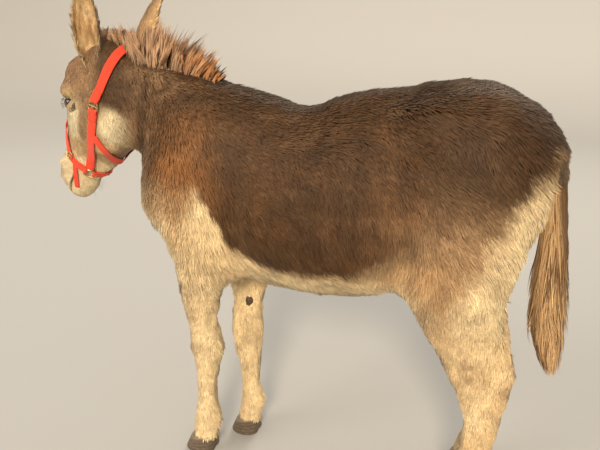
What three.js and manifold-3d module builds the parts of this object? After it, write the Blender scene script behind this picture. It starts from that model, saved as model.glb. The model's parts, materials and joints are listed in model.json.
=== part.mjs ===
// A standing donkey with a webbing halter, life size, as a set of solids that meet at thin cuts.
// Millimetres, +Z up. The donkey faces -X and its left side is towards -Y. The flesh solids reach
// out to the tips of the coat. The body is one smooth field, a distance to the coat's outline that
// is negative inside, and each named part is that field meshed in its own region and trimmed there.

import * as THREE from 'three';
import { mergeVertices } from 'three/addons/utils/BufferGeometryUtils.js';
import Module from 'manifold-3d';

const wasm = await Module();
wasm.setup();

// ---------------------------------------------------------------- driving dimensions

const GAP = 0.3; // clearance between parts that meet at a cut
const ROOT_GAP = 0.9; // clearance round the foot of the mane, the tail and the ears
const CELL = { trunk: 52, neck: 42, head: 20, upperLeg: 40, lowerLeg: 29, tail: 26, mane: 36 };

const POLL = new THREE.Vector3(-638, 0, 1123); // top of the head, between the ears
const HEAD_TILT = THREE.MathUtils.degToRad(20.5); // how far the muzzle swings ahead of the poll
const HEAD_TURN = THREE.MathUtils.degToRad(4); // a slight turn to the donkey's right

const NECK_CUT_X = -584; // behind the jaw and the poll
const TRUNK_CUT = { point: [-425, 0, 880], normal: [-0.83, 0, 0.56] }; // withers to breast
const LEG_TOP = { fore: 585, hind: 700 };
const LEG_SPLIT = { fore: 400, hind: 520 };
const MIDLINE_CLEARANCE = 6; // half the slot between the left and right legs' cuts

const EYE = { radius: 19, down: 157, face: 40, side: 65 };
const CORONET = { fore: 46, hind: 46, slope: 0.24 }; // height of the hoof's top, falling to the heel

const MANE_HALF_THICKNESS = 22;

const STRAP = { thickness: 2.6, width: 24, noseWidth: 18, throatWidth: 20, endWidth: 13, step: 20 };
const STRAP_LIFT = 2.4; // clearance of the webbing over the coat

// ---------------------------------------------------------------- colours

const finish = (color, roughness, metalness = 0) =>
  new THREE.MeshStandardMaterial({ color, roughness, metalness });

const COAT_BROWN = finish(0x5a4233, 0.9);
const COAT_CREAM = finish(0xcdb898, 0.9);
const COAT_GREY = finish(0x8f7d6b, 0.9);
const MANE_HAIR = finish(0x9a6440, 0.85);
const TAIL_HAIR = finish(0x8a5636, 0.85);
const HORN = finish(0x4a4038, 0.55);
const EYE_DARK = finish(0x1a110c, 0.08);
const RED_WEBBING = finish(0xc8322a, 0.6);
const BRASS = finish(0xb08a4a, 0.35, 1);

// ---------------------------------------------------------------- fields

// Signed distance, close to true near the surface, of an ellipsoid at the origin.
function ellipsoidDistance(x, y, z, rx, ry, rz) {
  const k0 = Math.hypot(x / rx, y / ry, z / rz);
  const k1 = Math.hypot(x / (rx * rx), y / (ry * ry), z / (rz * rz));
  return k1 === 0 ? -Math.min(rx, ry, rz) : (k0 * (k0 - 1)) / k1;
}

function ellipsoid(centre, radii) {
  return (x, y, z) => ellipsoidDistance(x - centre[0], y - centre[1], z - centre[2], ...radii);
}

// The same shape on both sides of the animal.
function pair(make) {
  const fields = [make(-1), make(1)];
  return (x, y, z) => fields[y < 0 ? 0 : 1](x, y, z);
}

function smoothMin(a, b, blend) {
  const h = Math.max(blend - Math.abs(a - b), 0) / blend;
  return Math.min(a, b) - h * h * blend * 0.25;
}

// Joins fields with a soft fillet. Each entry is [field, fillet].
function join(entries) {
  return (x, y, z) => {
    let value = entries[0][0](x, y, z);
    for (const [field, blend] of entries.slice(1)) {
      value = smoothMin(value, field(x, y, z), blend);
    }
    return value;
  };
}

const catmullRom = (p0, p1, p2, p3, t) =>
  0.5 * (2 * p1 + (p2 - p0) * t + (2 * p0 - 5 * p1 + 4 * p2 - p3) * t * t
    + (3 * p1 - p0 - 3 * p2 + p3) * t * t * t);

// Fills in stations between the given ones along smooth curves.
function refine(stations, steps) {
  const fine = [];
  const last = stations.length - 1;
  for (let i = 0; i < last; i += 1) {
    const around = [Math.max(i - 1, 0), i, i + 1, Math.min(i + 2, last)].map((k) => stations[k]);
    for (let step = 0; step < steps; step += 1) {
      fine.push(stations[0].map((_, k) => catmullRom(...around.map((s) => s[k]), step / steps)));
    }
  }
  fine.push(stations[last]);
  return fine;
}

// A body part along a chain of stations [x, y, z, plus, minus, side]: plus and minus are the half
// depths on either side of the chain in the animal's own upright plane, side is the half width.
function limb(stations, steps = 4) {
  const fine = refine(stations, steps);
  const segments = fine.slice(1).map((b, i) => {
    const a = fine[i];
    const along = new THREE.Vector3(b[0] - a[0], b[1] - a[1], b[2] - a[2]);
    const length = along.length();
    along.normalize();
    const side = new THREE.Vector3(0, 1, 0).addScaledVector(along, -along.y).normalize();
    const across = new THREE.Vector3().crossVectors(along, side);
    return { a, b, length, along, side, across };
  });
  return (x, y, z) => {
    let best = Infinity;
    for (const { a, b, length, along, side, across } of segments) {
      const dx = x - a[0];
      const dy = y - a[1];
      const dz = z - a[2];
      const run = dx * along.x + dy * along.y + dz * along.z;
      const t = Math.min(Math.max(run / length, 0), 1);
      const beyond = run - t * length;
      const v = dx * across.x + dy * across.y + dz * across.z;
      const u = dx * side.x + dy * side.y + dz * side.z;
      const depth = v > 0 ? a[3] + (b[3] - a[3]) * t : a[4] + (b[4] - a[4]) * t;
      const width = a[5] + (b[5] - a[5]) * t;
      const end = Math.min(depth, width);
      best = Math.min(best, ellipsoidDistance(v, u, beyond, depth, width, end));
    }
    return best;
  };
}

// ---------------------------------------------------------------- trunk and neck

// x, top line, level of the greatest width, under line, half width
const BARREL = [
  [-455, 930, 765, 640, 90],
  [-400, 1000, 770, 582, 130],
  [-310, 1040, 780, 545, 150],
  [-230, 1024, 765, 532, 170],
  [-140, 1009, 740, 527, 190],
  [-50, 1012, 730, 526, 202],
  [50, 1038, 735, 534, 205],
  [130, 1062, 760, 572, 200],
  [200, 1079, 800, 640, 194],
  [270, 1087, 850, 700, 184],
  [330, 1075, 865, 730, 166],
  [390, 1042, 870, 770, 130],
  [430, 1000, 870, 800, 64],
];

const barrel = limb(BARREL.map(([x, top, level, under, width]) =>
  [x, 0, level, top - level, level - under, width]), 3);

// crest [x, z], under line [x, z], half width
const NECK = [
  [[-235, 1020], [-330, 620], 128],
  [[-330, 1050], [-418, 714], 118],
  [[-400, 1084], [-432, 790], 100],
  [[-470, 1098], [-472, 834], 84],
  [[-540, 1110], [-548, 864], 74],
  [[-600, 1116], [-592, 886], 68],
];

const neck = limb(NECK.map(([crest, under, width]) => {
  const depth = Math.hypot(crest[0] - under[0], crest[1] - under[1]) / 2;
  return [(crest[0] + under[0]) / 2, 0, (crest[1] + under[1]) / 2, depth, depth, width];
}), 3);

const breast = pair((s) => ellipsoid([-440, s * 62, 750], [86, 68, 88]));
const shoulder = pair((s) => ellipsoid([-345, s * 92, 800], [95, 62, 190]));
const forearmRoot = pair((s) => ellipsoid([-345, s * 106, 640], [82, 52, 110]));
const haunch = pair((s) => ellipsoid([310, s * 94, 850], [128, 84, 190]));
const buttock = pair((s) => ellipsoid([412, s * 68, 842], [62, 64, 120]));
const thigh = pair((s) => ellipsoid([300, s * 128, 700], [122, 62, 150]));
const hip = pair((s) => ellipsoid([216, s * 92, 982], [70, 62, 56]));

// ---------------------------------------------------------------- legs

// z, front x, rear x, y of the axis, half width; from the top down
const NEAR_FORE = [
  [660, -424, -276, 108, 50],
  [576, -421, -290, 104, 49],
  [514, -421, -301, 97, 44],
  [451, -416, -312, 88, 39],
  [390, -409, -317, 78, 37],
  [335, -413, -311, 70, 41],
  [290, -406, -324, 67, 36],
  [222, -402, -332, 69, 29],
  [155, -402, -333, 72, 29],
  [112, -410, -325, 74, 34],
  [75, -414, -334, 76, 33],
  [40, -421, -338, 77, 38],
];

const FAR_FORE = [
  [660, -380, -246, 104, 50],
  [576, -374, -240, 98, 49],
  [505, -364, -232, 88, 44],
  [440, -352, -240, 78, 39],
  [390, -346, -248, 70, 37],
  [335, -347, -243, 64, 41],
  [290, -342, -248, 60, 36],
  [222, -324, -251, 52, 29],
  [155, -313, -249, 46, 29],
  [112, -315, -236, 43, 34],
  [75, -319, -245, 42, 33],
  [40, -327, -249, 41, 38],
];

const NEAR_HIND = [
  [720, 178, 436, 138, 66],
  [642, 182, 424, 136, 60],
  [604, 194, 422, 132, 56],
  [557, 218, 427, 125, 50],
  [511, 244, 433, 118, 45],
  [456, 272, 446, 110, 41],
  [405, 296, 458, 104, 42],
  [365, 312, 452, 101, 41],
  [325, 326, 446, 98, 38],
  [273, 336, 437, 95, 34],
  [211, 336, 426, 92, 31],
  [155, 334, 418, 90, 31],
  [112, 322, 410, 89, 36],
  [75, 308, 394, 88, 34],
  [40, 294, 384, 88, 39],
];

function leg(stations, sign) {
  return limb(stations.map(([z, front, rear, y, width]) => {
    const half = (rear - front) / 2;
    return [(front + rear) / 2, sign * y, z, half, half, width];
  }));
}

// The far hind leg is like the near one, with its hock ahead of it and its foot behind.
const HOCK_Z = 405;
const FAR_HOCK_LEAD = 14;
const FAR_FOOT_LAG = 24;

const FAR_HIND = NEAR_HIND.map(([z, front, rear, y, width]) => {
  const above = Math.min((NEAR_HIND[0][0] - z) / (NEAR_HIND[0][0] - HOCK_Z), 1);
  const below = Math.max((HOCK_Z - z) / HOCK_Z, 0);
  const shift = (FAR_HOCK_LEAD + FAR_FOOT_LAG) * below - FAR_HOCK_LEAD * above;
  return [z, front + shift, rear + shift, y - 8, width];
});

const LEGS = {
  fore: { left: leg(NEAR_FORE, -1), right: leg(FAR_FORE, 1) },
  hind: { left: leg(NEAR_HIND, -1), right: leg(FAR_HIND, 1) },
};

// ---------------------------------------------------------------- head

// Head coordinates: the origin is the poll, -Z runs down the face to the muzzle, -X is the face
// side, +X the jaw side, -Y the donkey's left.
const headFrame = new THREE.Matrix4()
  .makeTranslation(POLL)
  .multiply(new THREE.Matrix4().makeRotationZ(-HEAD_TURN))
  .multiply(new THREE.Matrix4().makeRotationY(HEAD_TILT));
const headInverse = headFrame.clone().invert();

// down from the poll, face side, jaw side, half width
const SKULL = [
  [4, 40, 56, 50],
  [38, 70, 86, 70],
  [80, 85, 106, 82],
  [125, 89, 118, 86],
  [170, 92, 122, 79],
  [215, 89, 120, 67],
  [262, 85, 102, 55],
  [310, 80, 70, 47],
  [352, 78, 42, 46],
  [386, 66, 37, 45],
  [406, 46, 36, 38],
];

const skull = limb(SKULL.map(([down, face, jaw, width]) => {
  const half = (face + jaw) / 2;
  return [(jaw - face) / 2, 0, -down, half, half, width];
}));

const headPair = (down, face, side, radii) => pair((s) => ellipsoid([-face, s * side, -down], radii));

const cheek = headPair(168, -62, 50, [72, 32, 88]);
const brow = headPair(126, 53, 66, [30, 24, 26]);
const nostrilWing = headPair(368, 50, 28, [24, 20, 28]);
const lowerLip = ellipsoid([16, 0, -384], [28, 28, 26]);
const earRoot = headPair(26, -4, 48, [32, 25, 34]);
const temple = headPair(75, 40, 60, [40, 24, 44]);
const orbit = headPair(EYE.down, EYE.face + 6, EYE.side + 21, [22, 13, 17]);
const nostril = headPair(372, 66, 36, [9, 9, 14]);

const headForms = join([[skull, 0], [cheek, 34], [brow, 22], [nostrilWing, 20], [lowerLip, 18],
  [earRoot, 26], [temple, 26]]);

function smoothCut(value, hollow, blend) {
  return -smoothMin(-value, hollow, blend);
}

const headPoint = new THREE.Vector3();
function head(x, y, z) {
  headPoint.set(x, y, z).applyMatrix4(headInverse);
  const { x: hx, y: hy, z: hz } = headPoint;
  let value = headForms(hx, hy, hz);
  value = smoothCut(value, orbit(hx, hy, hz), 12);
  value = smoothCut(value, nostril(hx, hy, hz), 8);
  return value;
}

// ---------------------------------------------------------------- the whole body

const torso = join([[barrel, 0], [shoulder, 70], [breast, 60], [forearmRoot, 60], [haunch, 80],
  [buttock, 60], [thigh, 70], [hip, 60], [neck, 66]]);

function body(x, y, z) {
  let value = torso(x, y, z);
  if (x < NECK_CUT_X + 220) {
    value = smoothMin(value, head(x, y, z), 44);
  }
  if (z < LEG_TOP.hind + 120) {
    for (const pairOfLegs of [LEGS.fore, LEGS.hind]) {
      value = smoothMin(value, (y < 0 ? pairOfLegs.left : pairOfLegs.right)(x, y, z), 34);
    }
  }
  return value;
}

// ---------------------------------------------------------------- meshing

function gradient(field, x, y, z) {
  const h = 0.5;
  return [
    (field(x + h, y, z) - field(x - h, y, z)) / (2 * h),
    (field(x, y + h, z) - field(x, y - h, z)) / (2 * h),
    (field(x, y, z + h) - field(x, y, z - h)) / (2 * h),
  ];
}

// Moves a point onto the surface where the field equals the given level.
function settle(field, point, level) {
  for (let pass = 0; pass < 4; pass += 1) {
    const g = gradient(field, ...point);
    const size = g[0] * g[0] + g[1] * g[1] + g[2] * g[2];
    const step = (field(...point) - level) / Math.max(size, 0.05);
    const limit = 6;
    for (let k = 0; k < 3; k += 1) {
      point[k] -= Math.min(Math.max(step * g[k], -limit), limit);
    }
  }
  return point;
}

const CORNERS = [0, 1, 2, 3, 4, 5, 6, 7].map((i) => [i & 1, (i >> 1) & 1, (i >> 2) & 1]);
const EDGES = [[0, 1], [2, 3], [4, 5], [6, 7], [0, 2], [1, 3], [4, 6], [5, 7], [0, 4], [1, 5],
  [2, 6], [3, 7]];

// Where a face of the grid has its inside corners on one diagonal, the surface would touch itself.
// The corner nearest the surface changes side until no such face is left.
function untangle(values, count, stepOf) {
  let changed = true;
  while (changed) {
    changed = false;
    for (let k = 1; k < count[2] - 2; k += 1) {
      for (let j = 1; j < count[1] - 2; j += 1) {
        for (let i = 1; i < count[0] - 2; i += 1) {
          const here = i + count[0] * (j + count[1] * k);
          for (let axis = 0; axis < 3; axis += 1) {
            const u = stepOf[axis];
            const v = stepOf[(axis + 1) % 3];
            const face = [here, here + u, here + u + v, here + v];
            const inside = face.map((n) => values[n] < 0);
            if (inside[0] === inside[2] && inside[1] === inside[3] && inside[0] !== inside[1]) {
              const nearest = face.reduce((a, b) => (Math.abs(values[b]) < Math.abs(values[a]) ? b : a));
              values[nearest] = values[nearest] < 0 ? 1e-3 : -1e-3;
              changed = true;
            }
          }
        }
      }
    }
  }
}

// Surface nets: one vertex in each cell that the surface crosses, one quad around each crossed
// edge. The surface is closed off one cell inside the region's box.
function surfaceNet(field, box, cell, level = 0) {
  const size = box.getSize(new THREE.Vector3());
  const count = [size.x, size.y, size.z].map((length) => Math.ceil(length / cell) + 1);
  const origin = [box.min.x, box.min.y, box.min.z];
  const values = new Float32Array(count[0] * count[1] * count[2]);
  const nodeIndex = (i, j, k) => i + count[0] * (j + count[1] * k);
  for (let k = 0; k < count[2]; k += 1) {
    for (let j = 0; j < count[1]; j += 1) {
      for (let i = 0; i < count[0]; i += 1) {
        const onRim = [i, j, k].some((n, axis) => n === 0 || n === count[axis] - 1);
        const value = field(origin[0] + i * cell, origin[1] + j * cell, origin[2] + k * cell) - level;
        values[nodeIndex(i, j, k)] = onRim ? Math.max(value, cell / 2) : value;
      }
    }
  }

  const stepOf = [nodeIndex(1, 0, 0), nodeIndex(0, 1, 0), nodeIndex(0, 0, 1)];
  untangle(values, count, stepOf);

  const positions = [];
  const cellVertex = new Map();
  for (let k = 0; k < count[2] - 1; k += 1) {
    for (let j = 0; j < count[1] - 1; j += 1) {
      for (let i = 0; i < count[0] - 1; i += 1) {
        const corner = CORNERS.map(([a, b, c]) => values[nodeIndex(i + a, j + b, k + c)]);
        const crossed = EDGES.filter(([a, b]) => (corner[a] < 0) !== (corner[b] < 0));
        if (crossed.length === 0) {
          continue;
        }
        const sum = [0, 0, 0];
        for (const [a, b] of crossed) {
          const t = corner[a] / (corner[a] - corner[b]);
          for (let axis = 0; axis < 3; axis += 1) {
            sum[axis] += CORNERS[a][axis] + t * (CORNERS[b][axis] - CORNERS[a][axis]);
          }
        }
        const point = [i, j, k].map((n, axis) => origin[axis] + (n + sum[axis] / crossed.length) * cell);
        const onRim = [i, j, k].some((n, axis) => n === 0 || n === count[axis] - 2);
        cellVertex.set(nodeIndex(i, j, k), positions.length / 3);
        positions.push(...(onRim ? point : settle(field, point, level)));
      }
    }
  }

  const triangles = [];
  for (let k = 0; k < count[2] - 1; k += 1) {
    for (let j = 0; j < count[1] - 1; j += 1) {
      for (let i = 0; i < count[0] - 1; i += 1) {
        const here = nodeIndex(i, j, k);
        for (let axis = 0; axis < 3; axis += 1) {
          const inside = values[here] < 0;
          if (inside === (values[here + stepOf[axis]] < 0)) {
            continue;
          }
          const u = stepOf[(axis + 1) % 3];
          const v = stepOf[(axis + 2) % 3];
          const quad = [here, here - u, here - u - v, here - v].map((c) => cellVertex.get(c));
          if (!inside) {
            quad.reverse();
          }
          triangles.push(quad[0], quad[1], quad[2], quad[0], quad[2], quad[3]);
        }
      }
    }
  }
  return toSolid(positions, triangles);
}

// ---------------------------------------------------------------- solids

function toSolid(positions, triangles) {
  return new wasm.Manifold(new wasm.Mesh({
    numProp: 3,
    vertProperties: new Float32Array(positions),
    triVerts: new Uint32Array(triangles),
  }));
}

function solidOf(geometry) {
  const bare = geometry.clone();
  bare.deleteAttribute('normal');
  bare.deleteAttribute('uv');
  const merged = mergeVertices(bare, 1e-3);
  return toSolid(merged.attributes.position.array, merged.index.array);
}

function geometryOf(solid) {
  const mesh = solid.getMesh();
  const geometry = new THREE.BufferGeometry();
  geometry.setAttribute('position', new THREE.BufferAttribute(mesh.vertProperties, 3));
  geometry.setIndex(new THREE.BufferAttribute(mesh.triVerts, 1));
  geometry.computeVertexNormals();
  return geometry;
}

function block(min, max) {
  const size = new THREE.Vector3(...max).sub(new THREE.Vector3(...min));
  const centre = new THREE.Vector3(...max).add(new THREE.Vector3(...min)).multiplyScalar(0.5);
  return solidOf(new THREE.BoxGeometry(size.x, size.y, size.z).translate(...centre));
}

// A large block that fills the side of a plane that its normal points to.
function halfSpace(point, normal, offset = 0) {
  const reach = 3000;
  const direction = new THREE.Vector3(...normal).normalize();
  const turn = new THREE.Quaternion().setFromUnitVectors(new THREE.Vector3(0, 0, 1), direction);
  const start = new THREE.Vector3(...point).addScaledVector(direction, offset);
  return solidOf(new THREE.BoxGeometry(reach, reach, reach)
    .translate(0, 0, reach / 2)
    .applyQuaternion(turn)
    .translate(start.x, start.y, start.z));
}

// Moves every vertex out along its normal, so that what is cut by the result clears the solid.
function grown(solid, clearance) {
  const geometry = geometryOf(solid);
  const { position, normal } = geometry.attributes;
  const moved = [];
  for (let i = 0; i < position.count; i += 1) {
    moved.push(
      position.getX(i) + normal.getX(i) * clearance,
      position.getY(i) + normal.getY(i) * clearance,
      position.getZ(i) + normal.getZ(i) * clearance,
    );
  }
  return toSolid(moved, geometry.index.array);
}

// A solid cut clear of others by a gap.
function clearOf(solid, blockers, gap) {
  return blockers.reduce((rest, blocker) => rest.subtract(grown(blocker, gap)).subtract(blocker), solid);
}

// The largest closed piece of a solid; slivers left by a cut are dropped.
function largest(solid) {
  const pieces = solid.decompose();
  return pieces.reduce((best, piece) => (piece.volume() > best.volume() ? piece : best));
}

const group = new THREE.Group();

function add(name, solid, material) {
  const mesh = new THREE.Mesh(geometryOf(solid), material);
  mesh.name = name;
  group.add(mesh);
}

const regionBox = (min, max) => new THREE.Box3(new THREE.Vector3(...min), new THREE.Vector3(...max));

// ---------------------------------------------------------------- legs and hooves

const SIDES = [['left', -1], ['right', 1]];

const LEG_REGION = {
  fore: { min: -475, max: -205 },
  hind: { min: 130, max: 520 },
};

// The block that holds one leg, between two heights; a negative shrink makes it larger.
function legBlock(end, sign, low, high, shrink) {
  const { min, max } = LEG_REGION[end];
  const inner = MIDLINE_CLEARANCE + shrink;
  const outer = 330;
  const y = sign < 0 ? [-outer, -inner] : [inner, outer];
  return block([min + shrink, y[0], low + shrink], [max - shrink, y[1], high - shrink]);
}

const HOOF = { top: 0.9, bottom: 1.16, toeRun: 24, sides: 16 };

function footAxis(end, sign) {
  const stations = { fore: { '-1': NEAR_FORE, 1: FAR_FORE }, hind: { '-1': NEAR_HIND, 1: FAR_HIND } };
  const [z, front, rear, y, width] = stations[end][sign].at(-1);
  return { z, x: (front + rear) / 2, y: sign * y, length: (rear - front) / 2, width };
}

// The coronet plane falls from the toe to the heel; the hoof is below it and the leg above it.
function coronetPlane(end, sign) {
  const foot = footAxis(end, sign);
  return { point: [foot.x, foot.y, CORONET[end]], normal: [CORONET.slope, 0, 1] };
}

function hoof(end, sign) {
  const foot = footAxis(end, sign);
  const height = CORONET[end] * 1.6;
  const cone = new THREE.CylinderGeometry(HOOF.top, HOOF.bottom, height, HOOF.sides, 1)
    .rotateX(Math.PI / 2)
    .translate(0, 0, height / 2)
    .scale(foot.length, foot.width, 1);
  const lean = new THREE.Matrix4().makeShear(0, 0, 0, 0, HOOF.toeRun / height, 0);
  cone.applyMatrix4(lean).translate(foot.x - HOOF.toeRun * 0.6, foot.y, 0);
  const plane = coronetPlane(end, sign);
  return solidOf(cone).subtract(halfSpace(plane.point, plane.normal, -GAP / 2));
}

function buildLegs() {
  for (const end of ['fore', 'hind']) {
    for (const [side, sign] of SIDES) {
      const split = LEG_SPLIT[end];
      const top = LEG_TOP[end];
      const y = sign < 0 ? [-270, 40] : [-40, 270];
      const region = LEG_REGION[end];
      const pad = 2 * CELL.upperLeg;
      const upperBox = regionBox([region.min - pad, y[0], split - pad], [region.max + pad, y[1], top + pad]);
      const lowerBox = regionBox([region.min, y[0], 0], [region.max, y[1], split + pad]);
      const upper = surfaceNet(body, upperBox, CELL.upperLeg)
        .intersect(legBlock(end, sign, split, top, GAP / 2));
      const plane = coronetPlane(end, sign);
      const lower = surfaceNet(body, lowerBox, CELL.lowerLeg)
        .intersect(legBlock(end, sign, -50, split, GAP / 2))
        .intersect(halfSpace(plane.point, plane.normal, GAP / 2));
      add(`${end}leg_upper_${side}`, largest(upper), end === 'fore' ? COAT_CREAM : COAT_GREY);
      add(`${end}leg_lower_${side}`, largest(lower), COAT_CREAM);
      add(`hoof_${end}_${side}`, hoof(end, sign), HORN);
    }
  }
}

// ---------------------------------------------------------------- tail

// z, front x, rear x, half width
const DOCK = [
  [965, 400, 452, 26],
  [925, 434, 496, 29],
  [880, 456, 514, 29],
  [820, 468, 520, 28],
  [740, 474, 528, 27],
  [660, 474, 536, 29],
  [590, 474, 542, 32],
  [530, 476, 548, 34],
  [470, 488, 552, 32],
  [420, 502, 550, 24],
  [380, 520, 546, 14],
  [366, 528, 542, 8],
];

const TAIL_SPLIT = 640; // the dock's end, where only long hair goes on

const tailField = limb(DOCK.map(([z, front, rear, width]) => {
  const half = (rear - front) / 2;
  return [(front + rear) / 2, 0, z, half, half, width];
}));

function buildTail(trunk) {
  const hanging = surfaceNet(tailField, regionBox([420, -80, 340], [600, 80, 1000]), CELL.tail);
  const whole = clearOf(hanging, [trunk], ROOT_GAP);
  const plane = { point: [0, 0, TAIL_SPLIT], normal: [0, 0, 1] };
  add('tail', largest(whole.intersect(halfSpace(plane.point, plane.normal, GAP / 2))), COAT_BROWN);
  const below = halfSpace(plane.point, [0, 0, -1], GAP / 2);
  add('tail_brush', largest(whole.intersect(below)), TAIL_HAIR);
}

// ---------------------------------------------------------------- mane

// The crest under the mane and the mane's ragged top line, x and z, from the withers forward.
const MANE = [
  [-332, 1034, 1070],
  [-362, 1050, 1102],
  [-396, 1062, 1136],
  [-437, 1076, 1163],
  [-480, 1084, 1186],
  [-520, 1092, 1201],
  [-574, 1096, 1197],
  [-622, 1100, 1184],
  [-660, 1110, 1192],
];

const maneField = limb(MANE.map(([x, foot, top]) => {
  const half = (top - foot) / 2;
  return [x, 0, (top + foot) / 2, half, half, MANE_HALF_THICKNESS];
}));

function buildMane(blockers) {
  const box = regionBox([-740, -60, 960], [-260, 60, 1260]);
  const blade = surfaceNet(maneField, box, CELL.mane);
  add('mane', largest(clearOf(blade, blockers, ROOT_GAP)), MANE_HAIR);
}

// ---------------------------------------------------------------- ears

// along the ear, radius of the cup, half angle that it wraps, wall
const EAR_SECTIONS = [
  [0.00, 20, 150, 8],
  [0.14, 24, 136, 8],
  [0.28, 29, 112, 9],
  [0.44, 33, 90, 9],
  [0.60, 35, 75, 9],
  [0.76, 32, 63, 8],
  [0.90, 23, 56, 7],
  [1.00, 6, 60, 3],
];

// Each ear's axis is a curve from inside the head to the tip; opens is the heading of its cup.
const EARS = {
  left: {
    axis: [[-658, -52, 1068], [-655, -84, 1170], [-646, -94, 1290]],
    opens: [0.35, -0.94, 0],
  },
  right: {
    axis: [[-630, 50, 1080], [-588, 98, 1130], [-522, 112, 1286]],
    opens: [0.53, 0.85, 0],
  },
};

// Joins rings of equal count into one closed body, with a fan over each end.
function loft(rings) {
  const count = rings[0].length;
  const positions = rings.flat(2);
  const triangles = [];
  for (let r = 0; r < rings.length - 1; r += 1) {
    for (let i = 0; i < count; i += 1) {
      const next = (i + 1) % count;
      const [a, b, c, d] = [r * count + i, r * count + next, (r + 1) * count + i, (r + 1) * count + next];
      triangles.push(a, b, d, a, d, c);
    }
  }
  for (const [ring, flip] of [[0, true], [rings.length - 1, false]]) {
    const start = ring * count;
    for (let i = 1; i < count - 1; i += 1) {
      const fan = [start, start + i, start + i + 1];
      triangles.push(...(flip ? fan.reverse() : fan));
    }
  }
  const solid = toSolid(positions, triangles);
  if (solid.volume() > 0) {
    return solid;
  }
  const turned = [];
  for (let i = 0; i < triangles.length; i += 3) {
    turned.push(triangles[i], triangles[i + 2], triangles[i + 1]);
  }
  return toSolid(positions, turned);
}

function earSolid({ axis, opens }) {
  const curve = new THREE.QuadraticBezierCurve3(...axis.map((p) => new THREE.Vector3(...p)));
  const steps = 6; // across each face of a section
  const rings = EAR_SECTIONS.map(([along, radius, wrapDegrees, wall]) => {
    const wrap = THREE.MathUtils.degToRad(wrapDegrees);
    const centre = curve.getPoint(along);
    const tangent = curve.getTangent(along);
    const front = new THREE.Vector3(...opens);
    front.addScaledVector(tangent, -tangent.dot(front)).normalize();
    const across = new THREE.Vector3().crossVectors(tangent, front);
    const ring = [];
    const point = (share, depth) => {
      const p = centre.clone()
        .addScaledVector(across, (radius - depth) * Math.sin(share * wrap))
        .addScaledVector(front, (depth - radius) * Math.cos(share * wrap));
      ring.push([p.x, p.y, p.z]);
    };
    for (let i = 0; i <= steps; i += 1) {
      point(-1 + (2 * i) / steps, 0);
    }
    for (let i = steps; i >= 0; i -= 1) {
      const share = -1 + (2 * i) / steps;
      point(share * 0.94, Math.min(wall, radius * 0.8) * Math.sqrt(1.05 - share * share));
    }
    return ring;
  });
  return loft(rings);
}

// ---------------------------------------------------------------- halter

function headToWorld(x, y, z) {
  return new THREE.Vector3(x, y, z).applyMatrix4(headFrame);
}

// Where a ray from inside the head leaves the coat, in head coordinates, at a height over it.
function onHead(start, direction, lift) {
  let near = 0;
  let far = 260;
  for (let pass = 0; pass < 24; pass += 1) {
    const reach = (near + far) / 2;
    const p = headToWorld(...start.map((v, k) => v + direction[k] * reach));
    if (body(p.x, p.y, p.z) < lift) {
      near = reach;
    } else {
      far = reach;
    }
  }
  return headToWorld(...start.map((v, k) => v + direction[k] * far));
}

const STRAP_CORE = 20; // the straps are laid on rays from this line, behind the head's axis

// A ray level with the head's cross-section; 0 degrees points to the face, 90 to the side.
function level(down, degrees) {
  const angle = THREE.MathUtils.degToRad(degrees);
  return [[STRAP_CORE, 0, -down], [-Math.cos(angle), Math.sin(angle), 0]];
}

// A ray over the poll; 0 degrees points up, 90 to the side.
function over(back, degrees) {
  const angle = THREE.MathUtils.degToRad(degrees);
  return [[back, 0, -70], [0, Math.sin(angle), Math.cos(angle)]];
}

// A flat strap over the coat along a list of rays.
function strap(rays, width, lift = STRAP_LIFT) {
  const anchors = rays.map(([start, direction]) =>
    onHead(start, direction, lift + STRAP.thickness / 2));
  const curve = new THREE.CatmullRomCurve3(anchors);
  const steps = Math.max(Math.round(curve.getLength() / STRAP.step), 2);
  const points = curve.getSpacedPoints(steps);
  const rings = points.map((point, i) => {
    const ahead = points[Math.min(i + 1, steps)];
    const behind = points[Math.max(i - 1, 0)];
    const along = ahead.clone().sub(behind).normalize();
    const out = new THREE.Vector3(...gradient(body, point.x, point.y, point.z)).normalize();
    out.addScaledVector(along, -out.dot(along)).normalize();
    const across = new THREE.Vector3().crossVectors(along, out);
    return [[-1, -1], [1, -1], [1, 1], [-1, 1]].map(([u, v]) => {
      const p = point.clone()
        .addScaledVector(across, (u * width) / 2)
        .addScaledVector(out, (v * STRAP.thickness) / 2);
      return [p.x, p.y, p.z];
    });
  });
  return loft(rings);
}

// Where the halter's pieces lie. A route is a list of [degrees round the head, down from the poll]
// on the left side; a band that crosses the face or the jaw is mirrored to the right.
const HALTER = {
  crown: { back: 50, reach: 106 },
  cheek: [[109, 136], [110, 165], [112, 220], [115, 316]],
  noseband: [[0, 242], [18, 254], [34, 300], [50, 320], [78, 328], [100, 331]],
  chin: [[180, 336], [155, 335], [132, 334]],
  throat: [[180, 278], [165, 272], [148, 254], [134, 233], [124, 218]],
  end: [[56, 318], [61, 345], [72, 396]],
};

// Metal: [degrees, down] of its place, ring radius, wire radius, stretch along and across the strap.
const METAL = {
  ring: { at: [115, 337], radius: 14.5, wire: 2.3, stretch: [0.8, 1.2] },
  buckle: { at: [107, 118], radius: 12.5, wire: 2, stretch: [1, 1] },
  nose_buckle: { at: [43, 312], radius: 9, wire: 1.6, stretch: [0.9, 1.1] },
};

// A band's rays from the right side, across the middle of the face or jaw, to the left side.
function crossing(route) {
  const half = route.map(([degrees, down]) => level(down, degrees));
  const mirrored = route.slice(1).reverse().map(([degrees, down]) => level(down, -degrees));
  return [...mirrored, ...half];
}

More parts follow.
